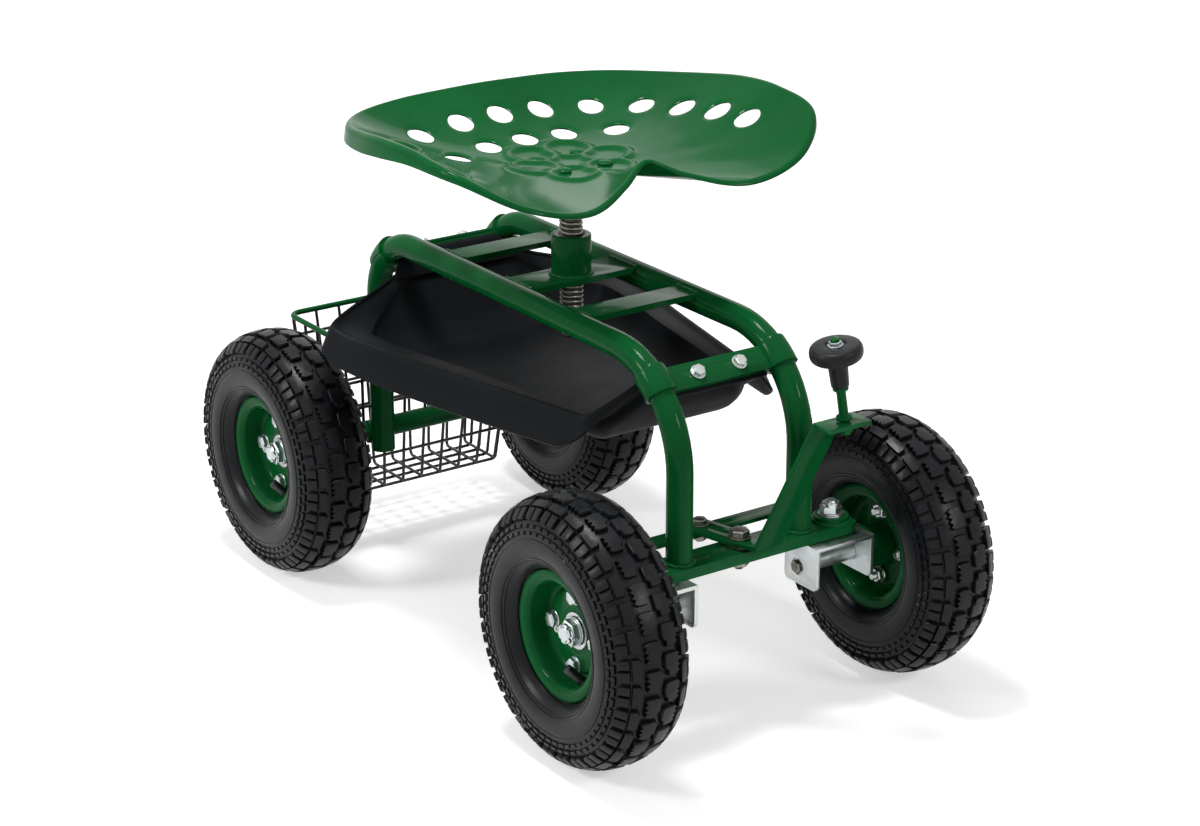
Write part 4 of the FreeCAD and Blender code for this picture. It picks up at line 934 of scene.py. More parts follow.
def make_rim_mesh():
    shared = spline(LIP, 3) + spline(BARREL, 4)[1:]
    outer = shared + spline(STEP, 3)[1:] + [(5.6, 30.0), (5.6, HUB_R - 0.2)]
    inner = shared + [(2.5, 38.0), (2.5, 28.0), (2.7, 25.2), (3.4, 23.4), (4.6, HUB_R + 0.4)]
    hub = [(3.0, HUB_R), (36.6, HUB_R), (37.6, HUB_R - 0.4), (38.0, HUB_R - 1.2), (38.0, HUB_BORE + 0.9),
           (37.4, HUB_BORE), (-5.4, HUB_BORE), (-6.0, HUB_BORE + 0.9), (-6.0, HUB_R - 1.2), (-5.6, HUB_R)]
    meshes = []
    for profile, way in ((sheet_profile(outer), 1.0), (sheet_profile(inner), -1.0), (hub, -1.0)):
        meshes.append(swept_round("rim_shell", [(way * x, r) for x, r in profile], RIM_STEPS))
    nipple = turned_mesh("nipple", 40.0, (NIPPLE, 16))
    meshes.append(placed(nipple, Matrix.Translation((NIPPLE_X * MM, 0.0, HUB_R * MM))))
    return joined(meshes, "rim", 40.0)


def rim_places(x, aim):
    """Places of the four rim bolts at x in mm, aimed along X."""
    places = []
    for k in range(4):
        turn = 0.5 * math.pi * k
        y = RIM_BOLT_RADIUS * math.cos(turn)
        z = RIM_BOLT_RADIUS * math.sin(turn)
        places.append(((x * MM, y * MM, z * MM), (aim, 0.0, 0.0), 0.3 + 0.7 * k))
    return places


def make_rim_bolt_mesh():
    head = hex_head(flats=13.0, height=5.3, washer_r=8.2, washer_h=1.4)
    nut = hex_nut(flats=13.0, height=6.0, stud_r=4.0, tip=4.5, washer_r=8.2, washer_h=1.4)
    heads = fasten(head, rim_places(RIM_HEAD_X, 1.0))
    nuts = fasten(nut, rim_places(RIM_NUT_X, -1.0))
    return joined([heads, nuts], "rim_bolts", FASTENER_ANGLE)


def make_valve_mesh():
    mesh = turned_mesh("valve", 34.0, (VALVE, 24))
    lean = VALVE_LEAN.to_track_quat("Z", "Y").to_matrix().to_4x4()
    root = Matrix.Translation((VALVE_X * MM, 0.0, VALVE_ROOT * MM))
    return placed(mesh, Matrix.Rotation(VALVE_TURN, 4, "X") @ root @ lean)


def wheel_matrix(name):
    side = WHEELS[name]
    low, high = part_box(name + "_outer_rim")
    x = low[0] if side > 0.0 else high[0]
    centre = Vector((x, middle(name + "_wheel_bearings").y, AXLE_Z))
    face = Matrix.Rotation(math.pi, 4, "Z") if side < 0.0 else Matrix.Identity(4)
    return Matrix.Translation(centre) @ face


def add_to_wheels(*models):
    """Copies on each wheel in place of its own nodes: mesh, ending of the name, material, nodes."""
    for name in WHEELS:
        for model, ending, material, nodes in models:
            mesh = placed(model.copy(), wheel_matrix(name))
            add_piece(name + ending, mesh, material, name + "_wheel", [name + node for node in nodes])
    for model, _, _, _ in models:
        bpy.data.meshes.remove(model)


def make_tyres():
    add_to_wheels((make_tyre_mesh(), "_tyre_tread", "matt_tyre_rubber", ("_tyre",)))


def make_rims():
    add_to_wheels(
        (make_rim_mesh(), "_rim", "green_enamel", ("_outer_rim", "_inner_rim")),
        (make_rim_bolt_mesh(), "_rim_fasteners", "zinc_plate", ("_rim_bolts",)),
        (make_valve_mesh(), "_valve", "inner_tube_rubber", ("_inner_tube",)))
    for name in WHEELS:
        paint_node(name + "_wheel_bearings", "ground_bearing_steel")


COTTER_X = 11.2 * MM
COTTER_WIRE = 1.1 * MM
COTTER_SIDES = 8


def cotter_mesh(x, side, y):
    """A split pin through a castle nut: a shank, two bent ends and an eye."""
    reach = x + side * COTTER_X
    start = (reach, y - 10.5 * MM, AXLE_Z)
    lines = [[start, (reach, y + 11.5 * MM, AXLE_Z)]]
    bends = [[0.0, 0.0]]
    for way in (-1.0, 1.0):
        lines.append([start, (reach, y - 13.0 * MM, AXLE_Z + way * 2.0 * MM),
                      (reach + side * MM, y - 12.0 * MM, AXLE_Z + way * 8.0 * MM)])
        bends.append([0.0, 1.5 * MM, 0.0])
    wire = rods(lines, bends, "zinc_plate", COTTER_WIRE, COTTER_SIDES)
    loop = circle_points((reach, y + 13.6 * MM, AXLE_Z), (0, 1, 0), (0, 0, 1), 2.6 * MM, 16)
    eye = rods([loop], None, "zinc_plate", 1.0 * MM, COTTER_SIDES, closed=True)
    return joined([wire, eye], "cotter", 40.0)


def axle_end(x, side, y, spin):
    nut = fasten(castle_nut(), [((x, y, AXLE_Z), (side, 0.0, 0.0), spin)])
    return [nut, cotter_mesh(x, side, y)]


def make_axle_ends():
    outer = {"right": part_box("right_axle_nut")[1][0], "left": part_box("left_axle_nut")[0][0]}
    rear = []
    for name, side in SIDES:
        nut = joined(axle_end(outer[name], side, FRONT_Y, 0.4), name + "_castle_nut", FASTENER_ANGLE)
        add_piece(name + "_axle_castle_nut", nut, "zinc_plate", name + "_knuckle", (name + "_axle_nut",))
        rear += axle_end(outer[name], side, REAR_Y, 0.9)
    nuts = joined(rear, "rear_castle_nuts", FASTENER_ANGLE)
    add_piece("rear_axle_castle_nuts", nuts, "zinc_plate", "frame", ("rear_axle_nuts",))
    for node in ("right_stub_axle", "left_stub_axle", "rear_axle"):
        paint_node(node, "zinc_plate")


# Frame.
def make_rails():
    for name, side in SIDES:
        x = side * RAIL_X
        line = [(x, FRONT_Y, BEAM_TOP), (x, FRONT_Y, RAIL_TOP), (x, REAR_LEG_Y, RAIL_TOP),
                (x, REAR_LEG_Y, REAR_LEG_FOOT)]
        tube = rods([line], [[0.0, FRONT_BEND, REAR_BEND, 0.0]], "green_enamel", RAIL_R, 40)
        rail = name + "_rail"
        add_piece(rail + "_tube", joined([tube], rail, 40.0), "green_enamel", "frame", (rail,))


def add_finished(rows):
    """Rounded copies in place of nodes: node, rounding in mm, material, body."""
    for node, width, material, body in rows:
        add_piece(node + "_finished", rounded_copy(node, width), material, body, (node,))


# Welded pieces of the frame: node, rounding of its edges in mm.
FRAME_PLATES = (
    ("cross_members", 0.9), ("seat_plate", 0.9), ("post_nut", 1.4), ("front_axle_beam", 1.6),
    ("front_clamp", 0.9), ("rear_clamp", 0.9), ("rear_axle_tube", 0.6),
)


def make_frame_plates():
    add_finished([(node, width, "green_enamel", "frame") for node, width in FRAME_PLATES])


CROSS_BAR_HALF = 16.0 * MM
POST_NUT_WELD_R = 20.4 * MM
BOSS_WELD_R = 17.4 * MM
AXLE_TUBE_WELD_R = 11.6 * MM
AXLE_TUBE_WELD_X = 11.5 * MM
BAR_WELD_INSET = 7.9 * MM
RIM_WELD_HALF = 7.0 * MM
WELD_RIPPLE = 1.6 * MM


def bar_spans(node):
    """Middle and half width of each bar of a node, along Y."""
    low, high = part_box(node)
    if node == "seat_plate":
        return [((low[1] + high[1]) / 2.0, (high[1] - low[1]) / 2.0)]
    return [(low[1] + CROSS_BAR_HALF, CROSS_BAR_HALF), (high[1] - CROSS_BAR_HALF, CROSS_BAR_HALF)]


def make_welds():
    lines = []
    loops = [flat_circle(POST.x, POST.y, BAR_TOP + 0.4 * MM, POST_NUT_WELD_R)]
    rim_y = REAR_LEG_Y + RAIL_R + 0.6 * MM
    rim_z = middle("basket_rim").z + 2.6 * MM
    for side in (-1.0, 1.0):
        x = side * RAIL_X
        loops.append(flat_circle(x, FRONT_Y, BEAM_TOP + 0.6 * MM, RAIL_R + 0.6 * MM))
        loops.append(flat_circle(side * KINGPIN_X, FRONT_Y, BEAM_TOP + 0.4 * MM, BOSS_WELD_R))
        for edge in (-AXLE_TUBE_WELD_X, AXLE_TUBE_WELD_X):
            centre = (x + edge, REAR_Y, AXLE_Z)
            lines.append(circle_points(centre, (0, -1, 0), (0, 0, 1), AXLE_TUBE_WELD_R, 20,
                                       math.radians(-80.0), math.radians(160.0)))
        inset = x - side * BAR_WELD_INSET
        for node in ("cross_members", "seat_plate"):
            for y, half in bar_spans(node):
                lines.append([(inset, y - half, BAR_TOP), (inset, y + half, BAR_TOP)])
        lines.append([(x - RIM_WELD_HALF, rim_y, rim_z), (x + RIM_WELD_HALF, rim_y, rim_z)])
    meshes = []
    bead = sizes().weld_bead
    for mesh, radius in ((line_mesh(loops, closed=True), bead), (line_mesh(lines), bead * 0.85)):
        meshes.append(run_tree("weld_bead", mesh, "green_enamel", Radius=radius, Ripple=WELD_RIPPLE))
    add_piece("frame_welds", joined(meshes, "frame_welds", 60.0), "green_enamel", "frame")


# Bends of the rails that carry the clamps: centre y, centre z, side, bend radius, clamp angle.
CLAMPS = (
    (FRONT_Y + FRONT_BEND, RAIL_TOP - FRONT_BEND, -1.0, FRONT_BEND, math.radians(52.0)),
    (REAR_LEG_Y - REAR_BEND, RAIL_TOP - REAR_BEND, 1.0, REAR_BEND, math.radians(45.0)),
)
CLAMP_BOLT_X = 24.0 * MM
LEVER_SHEET = 4.0 * MM


def make_clamp_fasteners():
    heads = []
    nuts = []
    for y, z, side, bend, turn in CLAMPS:
        out = Vector((0.0, side * math.cos(turn), math.sin(turn)))
        for x in (-CLAMP_BOLT_X, CLAMP_BOLT_X):
            centre = Vector((x, y, z))
            heads.append((centre + out * (bend + 3.5 * MM), out, 0.4 + 9.0 * x))
            nuts.append((centre + out * (bend - 7.7 * MM), -out, 0.8 - 9.0 * x))
    head = hex_head(flats=11.0, height=4.4, washer_r=7.6, washer_h=1.4)
    nut = hex_nut(flats=13.0, height=6.5, stud_r=4.0, tip=3.0, washer_r=8.6, washer_h=1.4)
    bolts = joined([fasten(head, heads), fasten(nut, nuts)], "clamp_fasteners", FASTENER_ANGLE)
    add_piece("clamp_fasteners", bolts, "zinc_plate", "frame", ("clamp_bolts",))


def make_kingpins():
    seat = BEAM_TOP + 6.0 * MM
    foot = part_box("kingpins")[0][2] + 6.6 * MM
    shank_r = 6.0
    nuts = []
    heads = []
    meshes = []
    for side in (-1.0, 1.0):
        x = side * KINGPIN_X
        nuts.append(((x, FRONT_Y, seat), UP, 0.3 + side))
        heads.append(((x, FRONT_Y, foot), DOWN, 0.3 + side))
        ends = [(shank_r, foot / MM - 1.0), (shank_r, seat / MM + 4.0)]
        shank = turned_mesh("shank", FASTENER_ANGLE, (ends, 28))
        meshes.append(placed(shank, Matrix.Translation((x, FRONT_Y, 0.0))))
    meshes.append(fasten(lock_nut(flats=19.0, height=6.4, washer_r=13.0, stud_r=shank_r, tip=1.8), nuts))
    meshes.append(fasten(hex_head(flats=19.0, height=6.0), heads))
    pins = joined(meshes, "kingpins_finished", FASTENER_ANGLE)
    add_piece("kingpin_bolts", pins, "zinc_plate", "frame", ("kingpin_nuts", "kingpins"))


def make_lever_pivot():
    lever_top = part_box("steering_lever")[0][2] + LEVER_SHEET
    head = fasten(hex_head(flats=17.0, height=6.4, washer_r=11.0, washer_h=2.0),
                  [((0.0, FRONT_Y, lever_top + 0.3 * MM), UP, 0.2)], "oiled_thread_steel")
    nut = fasten(hex_nut(flats=17.0, height=8.4, stud_r=5.0, tip=3.6),
                 [((0.0, FRONT_Y, BEAM_TOP - 11.0 * MM), DOWN, 0.5)], "oiled_thread_steel")
    ring = [(11.6, 0.0), (12.0, 0.4), (12.0, 3.5), (11.6, 3.9)]
    shank = [(5.0, -11.0), (5.0, 10.0)]
    spacer = turned_mesh("spacer", FASTENER_ANGLE, (ring, 36), (shank, 24))
    placed(spacer, Matrix.Translation((0.0, FRONT_Y, BEAM_TOP)))
    pivot = joined([head, nut, spacer], "lever_pivot", FASTENER_ANGLE)
    add_piece("lever_pivot_bolt", pivot, "oiled_thread_steel", "frame", ("lever_bolt",))


# Tool tray: sections from front to back, in mm. Place, rim half width, rim height, spread and drop of the
# skirt, flare of its hem, half width and height of the floor, radius of the floor's corner.
TRAY_SECTIONS = (
    (-200.0, 56.0, 326.0, 8.0, 10.0, 0.5, 46.0, 316.0, 5.0),
    (-186.0, 84.0, 305.0, 10.5, 14.0, 0.5, 64.0, 294.0, 8.0),
    (-171.0, 104.0, 290.5, 13.0, 23.0, 1.5, 82.0, 274.0, 10.0),
    (-148.0, 108.4, 289.5, 13.5, 32.0, 4.5, 93.0, 255.0, 24.0),
    (6.0, 141.4, 289.5, 13.5, 34.0, 3.5, 119.4, 255.0, 30.0),
    (150.0, 172.0, 289.5, 13.5, 29.0, 1.0, 145.0, 255.5, 30.0),
    (176.0, 174.3, 293.0, 13.5, 24.0, 0.5, 128.0, 268.0, 18.0),
    (214.0, 76.0, 321.0, 7.0, 10.0, 0.5, 64.0, 316.0, 4.0),
)
TRAY_SHEET = 3.0 * MM
TRAY_STEPS = 84
TONGUE_HALF = 54.0 * MM
TONGUE_ROWS = (-1.0, -0.63, -0.22, 0.22, 0.63, 1.0)
TONGUE_STEPS = 6


def eased_slopes(rows, column):
    """Slope of a column at each section, without overshoot between sections."""
    steps = []
    for before, after in zip(rows, rows[1:]):
        steps.append((after[column] - before[column]) / (after[0] - before[0]))
    slopes = [steps[0]]
    for before, after in zip(steps, steps[1:]):
        if before * after <= 0.0:
            slopes.append(0.0)
        else:
            slopes.append(2.0 * before * after / (before + after))
    slopes.append(steps[-1])
    return slopes


def eased_row(rows, slopes, place):
    """The section at a place between the given ones."""
    k = 0
    while k < len(rows) - 2 and rows[k + 1][0] < place:
        k += 1
    span = rows[k + 1][0] - rows[k][0]
    t = (place - rows[k][0]) / span
    found = []
    for column in range(1, len(rows[0])):
        start = rows[k][column]
        end = rows[k + 1][column]
        value = start + (end - start) * t * t * (3.0 - 2.0 * t)
        value += slopes[column][k] * span * t * (1.0 - t) ** 2
        value -= slopes[column][k + 1] * span * t * t * (1.0 - t)
        found.append(value)
    return found


def tray_half_line(row):
    """Half of a section, from the hem of the skirt to the middle of the floor."""
    rim_x, rim_z, spread, fall, hem, floor_x, floor_z, corner = row
    rise = 1.2 * hem - fall
    line = [(rim_x + spread + hem, rim_z - fall), (rim_x + spread, rim_z + rise)]
    for share in (0.66, 0.33):
        line.append((rim_x + 3.0 + (spread - 3.0) * share, rim_z + rise * share))
    for out, down in ((3.4, 1.6), (2.2, 0.2), (0.0, 0.0), (-2.2, 0.2), (-3.6, 1.8)):
        line.append((rim_x + out, rim_z - down))
    wall_x = rim_x - 3.6
    wall_z = rim_z - 1.8
    foot_x = floor_x - 3.0
    foot_z = floor_z + corner
    for share in (0.3, 0.65):
        line.append((wall_x + (foot_x - wall_x) * share, wall_z + (foot_z - wall_z) * share))
    for k in range(6):
        turn = 0.5 * math.pi * k / 5.0
        line.append((foot_x - corner * (1.0 - math.cos(turn)), foot_z - corner * math.sin(turn)))
    for share in (0.7, 0.4, 0.15):
        line.append(((foot_x - corner) * share, floor_z))
    return line


def sheet_grid(rows, thickness, name):
    """A closed sheet below a grid of points."""
    bm = bmesh.new()
    grid = [[bm.verts.new(point) for point in row] for row in rows]
    for before, after in zip(grid, grid[1:]):
        bridge(bm, before, after, closed=False)
    bm.normal_update()
    if sum(face.normal.z for face in bm.faces) < 0.0:
        bmesh.ops.reverse_faces(bm, faces=bm.faces[:])
    wall = {"thickness": thickness, "offset": -1.0, "use_even_offset": True}
    edge = {"width": 0.7 * MM, "segments": 2, "angle_limit": math.radians(50.0)}
    return modified(name + "_sheet", plain_mesh(bm, name), ("SOLIDIFY", wall), ("BEVEL", edge))


def tray_tongue(clamp, root, reach, root_half):
    """The tongue from a lip of the tray to the underside of a strap, wider at its root."""
    y, z, side, bend, turn = clamp
    radius = bend - 4.6 * MM
    line = [root]
    for share in (1.0, 0.0, -0.9):
        angle = turn + math.radians(reach) * share
        line.append((y + side * radius * math.cos(angle), z + radius * math.sin(angle)))
    rows = []
    for k, spot in enumerate(spline(line, TONGUE_STEPS)):
        taper = max(0.0, 1.0 - (k / TONGUE_STEPS) ** 2)
        half = TONGUE_HALF + (root_half - TONGUE_HALF) * taper
        rows.append([(share * half, spot[0], spot[1]) for share in TONGUE_ROWS])
    return sheet_grid(rows, TRAY_SHEET, "tray_tongue")


def make_tray():
    slopes = [eased_slopes(TRAY_SECTIONS, column) for column in range(len(TRAY_SECTIONS[0]))]
    first = TRAY_SECTIONS[0][0]
    last = TRAY_SECTIONS[-1][0]
    rows = []
    for k in range(TRAY_STEPS + 1):
        place = first + (last - first) * k / TRAY_STEPS
        line = tray_half_line(eased_row(TRAY_SECTIONS, slopes, place))
        across = [(-x, z) for x, z in line] + list(reversed(line))
        rows.append([(x * MM, place * MM, z * MM) for x, z in across])
    pan = sheet_grid(rows, TRAY_SHEET, "tray_pan")
    front = tray_tongue(CLAMPS[0], (-197.0 * MM, 314.0 * MM), 10.0, TONGUE_HALF)
    rear = tray_tongue(CLAMPS[1], (209.0 * MM, 316.0 * MM), 12.0, 79.0 * MM)
    mesh = joined([pan, front, rear], "tray", 55.0)
    add_piece("tool_tray_moulded", mesh, "tray_plastic", "frame", ("tool_tray",))


# Basket.
BASKET_HALF = 118.0 * MM
BASKET_DEPTH = 95.0 * MM
BASKET_SIDE_TAPER = 18.0 * MM
BASKET_FRONT_TAPER = 22.0 * MM
BASKET_REAR_TAPER = 10.8 * MM
BASKET_INSET = 5.0 * MM
BASKET_WIRE_SIDES = 10
BASKET_SIDE_WIRES = 4
BASKET_BEND = 5.0 * MM
RIM_BEND = 14.0 * MM
RING_BEND = 9.0 * MM


def make_basket():
    wire = sizes().basket_wire / 2.0
    pitch = sizes().basket_pitch
    rim_low, rim_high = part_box("basket_rim")
    rim_r = (rim_high[2] - rim_low[2]) / 2.0
    half = BASKET_HALF
    front = REAR_LEG_Y + RAIL_R + 0.2 * MM + rim_r
    rear = front + BASKET_DEPTH
    top = middle("basket_rim").z
    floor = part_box("basket_wires")[0][2] + 2.6 * MM
    low_half = half - BASKET_SIDE_TAPER
    low_front = front + BASKET_FRONT_TAPER
    low_rear = rear - BASKET_REAR_TAPER

    def ring(x, y0, y1, z):
        return [(x, y1, z), (x, y0, z), (-x, y0, z), (-x, y1, z)]

    hoop = rods([ring(half, front, rear, top)], [[RIM_BEND] * 4], "green_enamel", rim_r, 20, closed=True)
    hoop = joined([hoop], "basket_rim_hoop", 60.0)
    add_piece("basket_rim_hoop", hoop, "green_enamel", "frame", ("basket_rim",))
    lines = []
    bars = round(2.0 * (half - BASKET_INSET) / pitch)
    for k in range(bars + 1):
        share = 2.0 * k / bars - 1.0
        high_x = share * (half - BASKET_INSET)
        low_x = share * (low_half - BASKET_INSET)
        lines.append([(high_x, front, top), (low_x, low_front, floor), (low_x, low_rear, floor),
                      (high_x, rear, top)])
    under = floor - 2.0 * wire
    for k in range(BASKET_SIDE_WIRES):
        share = (k + 0.35) / (BASKET_SIDE_WIRES - 0.3)
        high_y = front + (rear - front) * share
        low_y = low_front + (low_rear - low_front) * share
        lines.append([(-half, high_y, top), (-low_half, low_y, under), (low_half, low_y, under),
                      (half, high_y, top)])
    bends = [[0.0, BASKET_BEND, BASKET_BEND, 0.0]] * len(lines)
    upright = rods(lines, bends, "black_wire_paint", wire, BASKET_WIRE_SIDES)
    loops = []
    rows = round((top - floor) / pitch)
    outside = 1.2 * wire
    for k in range(1, rows):
        share = (k - 0.2) / rows
        x = half + (low_half - half) * share + outside
        y0 = front + (low_front - front) * share - outside
        y1 = rear + (low_rear - rear) * share + outside
        loops.append(ring(x, y0, y1, top + (floor - top) * share))
    bends = [[RING_BEND] * 4] * len(loops)
    rings = rods(loops, bends, "black_wire_paint", wire, BASKET_WIRE_SIDES, closed=True)
    mesh = joined([upright, rings], "basket_wire_mesh", 60.0)
    add_piece("basket_wire_mesh", mesh, "black_wire_paint", "frame", ("basket_wires",))


# Seat, in mm. Rim every 15 degrees from the front notch to the back: radius, rise.
SEAT_RIM = (
    (124.0, 32.0), (144.0, 17.0), (185.0, 6.0), (219.0, 20.0), (232.0, 48.0), (215.0, 57.0), (206.0, 56.0),
    (205.0, 49.5), (211.0, 43.0), (208.0, 41.0), (187.0, 43.0), (169.0, 44.5), (164.0, 45.0),
)
# Holes to each side of the back: angle, share of the way to the rim.
SEAT_HOLES = (
    (0.0, 0.77), (21.0, 0.76), (42.0, 0.74), (61.0, 0.76), (79.0, 0.78), (95.5, 0.8), (109.0, 0.82),
    (0.0, 0.49), (30.0, 0.48), (59.0, 0.52),
)
# The turned edge every 15 degrees from the notch: radius of the roll, depth of the skirt below it.
SEAT_EDGE = (
    (3.0, 0.0), (4.0, 0.0), (5.0, 0.0), (5.0, 0.5), (5.0, 3.0), (5.5, 8.0), (6.0, 12.0),
    (6.0, 12.0), (5.0, 9.0), (4.0, 5.0), (4.0, 3.0), (4.0, 3.0), (4.0, 3.0),
)
SEAT_STEP = 15.0
SEAT_WALL_POWER = 2.6
SEAT_OUTLINE = 240
SEAT_HOLE_R = 13.0
HOLE_STEPS = 28
LIP_DEPTH = 1.6
LIP_WIDTH = 4.5
ROSETTE_REACH = 84.0
PETALS = 6
PETAL_REACH = 42.0
PETAL_R = 23.0
PETAL_RISE = 3.2
PETAL_WIDTH = 5.0
ROLL_RINGS = 9
ROLL_END = math.radians(-82.0)
SKIRT_LEAST = 0.6
SKIRT_LEAN = 0.14
# Lattice of points between the holes: pitch, nearest and farthest reach.
SEAT_LATTICE = ((2.4, 0.0, 82.0), (5.0, 82.0, 260.0))
ROW_SHARE = 0.866
LATTICE_SHARE = 0.945
LATTICE_GAP = 7.0
# Rows of points along the rim, as shares of the way to it.
RIM_ROWS = (0.992, 0.98, 0.96)
# Rings of points round a hole: distance from its edge, shift in steps.
HOLE_RINGS = ((1.4, 0.0), (3.0, 0.5), (5.0, 0.0))


def round_table(table, angle):
    """A table of pairs, every 15 degrees from the front to the back, read smoothly at an angle."""
    turn = abs((angle + 180.0) % 360.0 - 180.0)
    last = len(table) - 1
    k = min(int(turn / SEAT_STEP), last - 1)
    four = (table[abs(k - 1)], table[k], table[k + 1], table[last - abs(last - (k + 2))])
    return tuple(curve_spot(four, turn / SEAT_STEP - k))


def angle_of(x, y):
    """Angle of a place on the seat from its front, in degrees."""
    return math.degrees(math.atan2(x, -y))


def round_hole(x, y, radius, phase=0.0):
    points = []
    for k in range(HOLE_STEPS):
        turn = FULL_TURN * (k + phase) / HOLE_STEPS
        points.append((x + radius * math.cos(turn), y + radius * math.sin(turn)))
    return points


def seat_place(angle, share):
    radius = round_table(SEAT_RIM, angle)[0] * share
    turn = math.radians(angle)
    return radius * math.sin(turn), -radius * math.cos(turn)


def seat_ring(share):
    return [seat_place(360.0 * k / SEAT_OUTLINE, share) for k in range(SEAT_OUTLINE)]


def seat_holes():
    holes = []
    for angle, share in SEAT_HOLES:
        holes.append(seat_place(180.0 - angle, share))
        if angle > 0.0:
            holes.append(seat_place(180.0 + angle, share))
    return holes


def seat_level(x, y, holes):
    """Height of the pan: the dished sheet, its pressed rosette and the turned lips of its holes."""
    reach = math.hypot(x, y)
    radius, rise = round_table(SEAT_RIM, angle_of(x, y))
    level = rise * (reach / radius) ** SEAT_WALL_POWER
    if reach < ROSETTE_REACH:
        ridge = 0.0
        for k in range(PETALS):
            turn = FULL_TURN * (k + 0.5) / PETALS
            gap = math.hypot(x - PETAL_REACH * math.sin(turn), y + PETAL_REACH * math.cos(turn)) - PETAL_R
            ridge = max(ridge, math.exp(-(gap / PETAL_WIDTH) ** 2))
        level += PETAL_RISE * ridge
    for hole_x, hole_y in holes:
        gap = math.hypot(x - hole_x, y - hole_y) - SEAT_HOLE_R
        level -= LIP_DEPTH * max(0.0, 1.0 - gap / LIP_WIDTH) ** 2
    return level


def seat_points(holes):
    """Outline, hole rings and a lattice between them, as flat points, and the edges to be kept."""
    points = seat_ring(1.0)
    edges = [(k, (k + 1) % SEAT_OUTLINE) for k in range(SEAT_OUTLINE)]
    for x, y in holes:
        start = len(points)
        points += round_hole(x, y, SEAT_HOLE_R)
        edges += [(start + k, start + (k + 1) % HOLE_STEPS) for k in range(HOLE_STEPS)]
        for wider, phase in HOLE_RINGS:
            points += round_hole(x, y, SEAT_HOLE_R + wider, phase)
    for share in RIM_ROWS:
        points += seat_ring(share)
    for pitch, low, high in SEAT_LATTICE:
        for j in range(int(2.0 * high / (pitch * ROW_SHARE)) + 1):
            y = -high + j * pitch * ROW_SHARE
            for i in range(int(2.0 * high / pitch) + 1):
                x = -high + (i + 0.5 * (j % 2)) * pitch
                reach = math.hypot(x, y)
                if not low <= reach < high:
                    continue
                if reach > LATTICE_SHARE * round_table(SEAT_RIM, angle_of(x, y))[0]:
                    continue
                if any(math.hypot(x - hx, y - hy) < SEAT_HOLE_R + LATTICE_GAP for hx, hy in holes):
                    continue
                points.append((x, y))
    return points, edges


def seat_sheet():
    """The pan's upper face with its turned edge, as a bmesh in mm."""
    holes = seat_holes()
    points, edges = seat_points(holes)
    flat = [Vector(p) for p in points]
    verts, _, faces, origins, _, _ = delaunay_2d_cdt(flat, edges, [], 0, 1e-4, True)
    bm = bmesh.new()
    made = [bm.verts.new((spot.x, spot.y, seat_level(spot.x, spot.y, holes))) for spot in verts]
    for face in faces:
        centre = sum((verts[k] for k in face), Vector((0.0, 0.0))) / len(face)
        if centre.length > round_table(SEAT_RIM, angle_of(centre.x, centre.y))[0] * 0.9999:
            continue
        if any((centre - Vector(hole)).length < SEAT_HOLE_R * 0.999 for hole in holes):
            continue
        bm.faces.new([made[k] for k in face])
    rim = [None] * SEAT_OUTLINE
    for vert, sources in zip(made, origins):
        for source in sources:
            if source < SEAT_OUTLINE:
                rim[source] = vert
    for vert in [v for v in bm.verts if not v.link_faces]:
        bm.verts.remove(vert)
    for face in bm.faces:
        face.normal_update()
        if face.normal.z < 0.0:
            face.normal_flip()
    roll_edge(bm, rim)
    return bm


def roll_edge(bm, edge):
    """Turns the pan's edge outwards and down: a roll, then a short skirt."""
    count = len(edge)
    frames = []
    for i in range(count):
        spot = edge[i].co
        ahead = (edge[(i + 1) % count].co - edge[i - 1].co).normalized()
        out = Vector((ahead.y, -ahead.x, 0.0)).normalized()
        if out.dot(spot) < 0.0:
            out = -out
        inward = spot - 0.02 * spot
        inward.z = seat_level(inward.x, inward.y, ())
        climb = spot - inward
        slope = math.atan2(climb.z, Vector((climb.x, climb.y)).length)
        roll, skirt = round_table(SEAT_EDGE, angle_of(spot.x, spot.y))
        frames.append((out, slope, roll, max(skirt, 0.0) + SKIRT_LEAST))
    last = edge
    for k in range(1, ROLL_RINGS + 2):
        ring = []
        for i in range(count):
            out, slope, roll, skirt = frames[i]
            turn = slope + (ROLL_END - slope) * min(k, ROLL_RINGS) / ROLL_RINGS
            along = roll * (math.sin(slope) - math.sin(turn))
            down = roll * (math.cos(turn) - math.cos(slope))
            if k > ROLL_RINGS:
                along += SKIRT_LEAN * skirt
                down -= skirt
            ring.append(bm.verts.new(edge[i].co + out * along + Vector((0.0, 0.0, down))))
        bridge(bm, last, ring)
        last = ring
    bmesh.ops.recalc_face_normals(bm, faces=bm.faces[:])
    top = max(bm.faces, key=lambda f: f.calc_area() * (f.calc_center_median().length < 60.0))
    if top.normal.z < 0.0:
        bmesh.ops.reverse_faces(bm, faces=bm.faces[:])


def make_seat():
    bm = seat_sheet()
    bmesh.ops.scale(bm, vec=(MM, MM, MM), verts=bm.verts[:])
    bmesh.ops.translate(bm, vec=(POST.x, POST.y, SEAT_Z), verts=bm.verts[:])
    mesh = plain_mesh(bm, "seat_pan_sheet")
    mesh.shade_smooth()
    wall = {"thickness": sizes().seat_sheet, "offset": -1.0, "use_even_offset": False}
    mesh = modified("seat_sheet", mesh, ("SOLIDIFY", wall))
    mesh.shade_smooth()
    mesh.set_sharp_from_angle(angle=math.radians(50.0))
    mesh = modified("seat_shading", mesh, ("WEIGHTED_NORMAL", {"keep_sharp": True, "weight": 80}))
    add_piece("seat_pan_pressed", mesh, "green_enamel", "seat", ("seat_pan",))


SEAT_BOLT_RADIUS = 34.0 * MM
LOCK_HEAD = 5.3


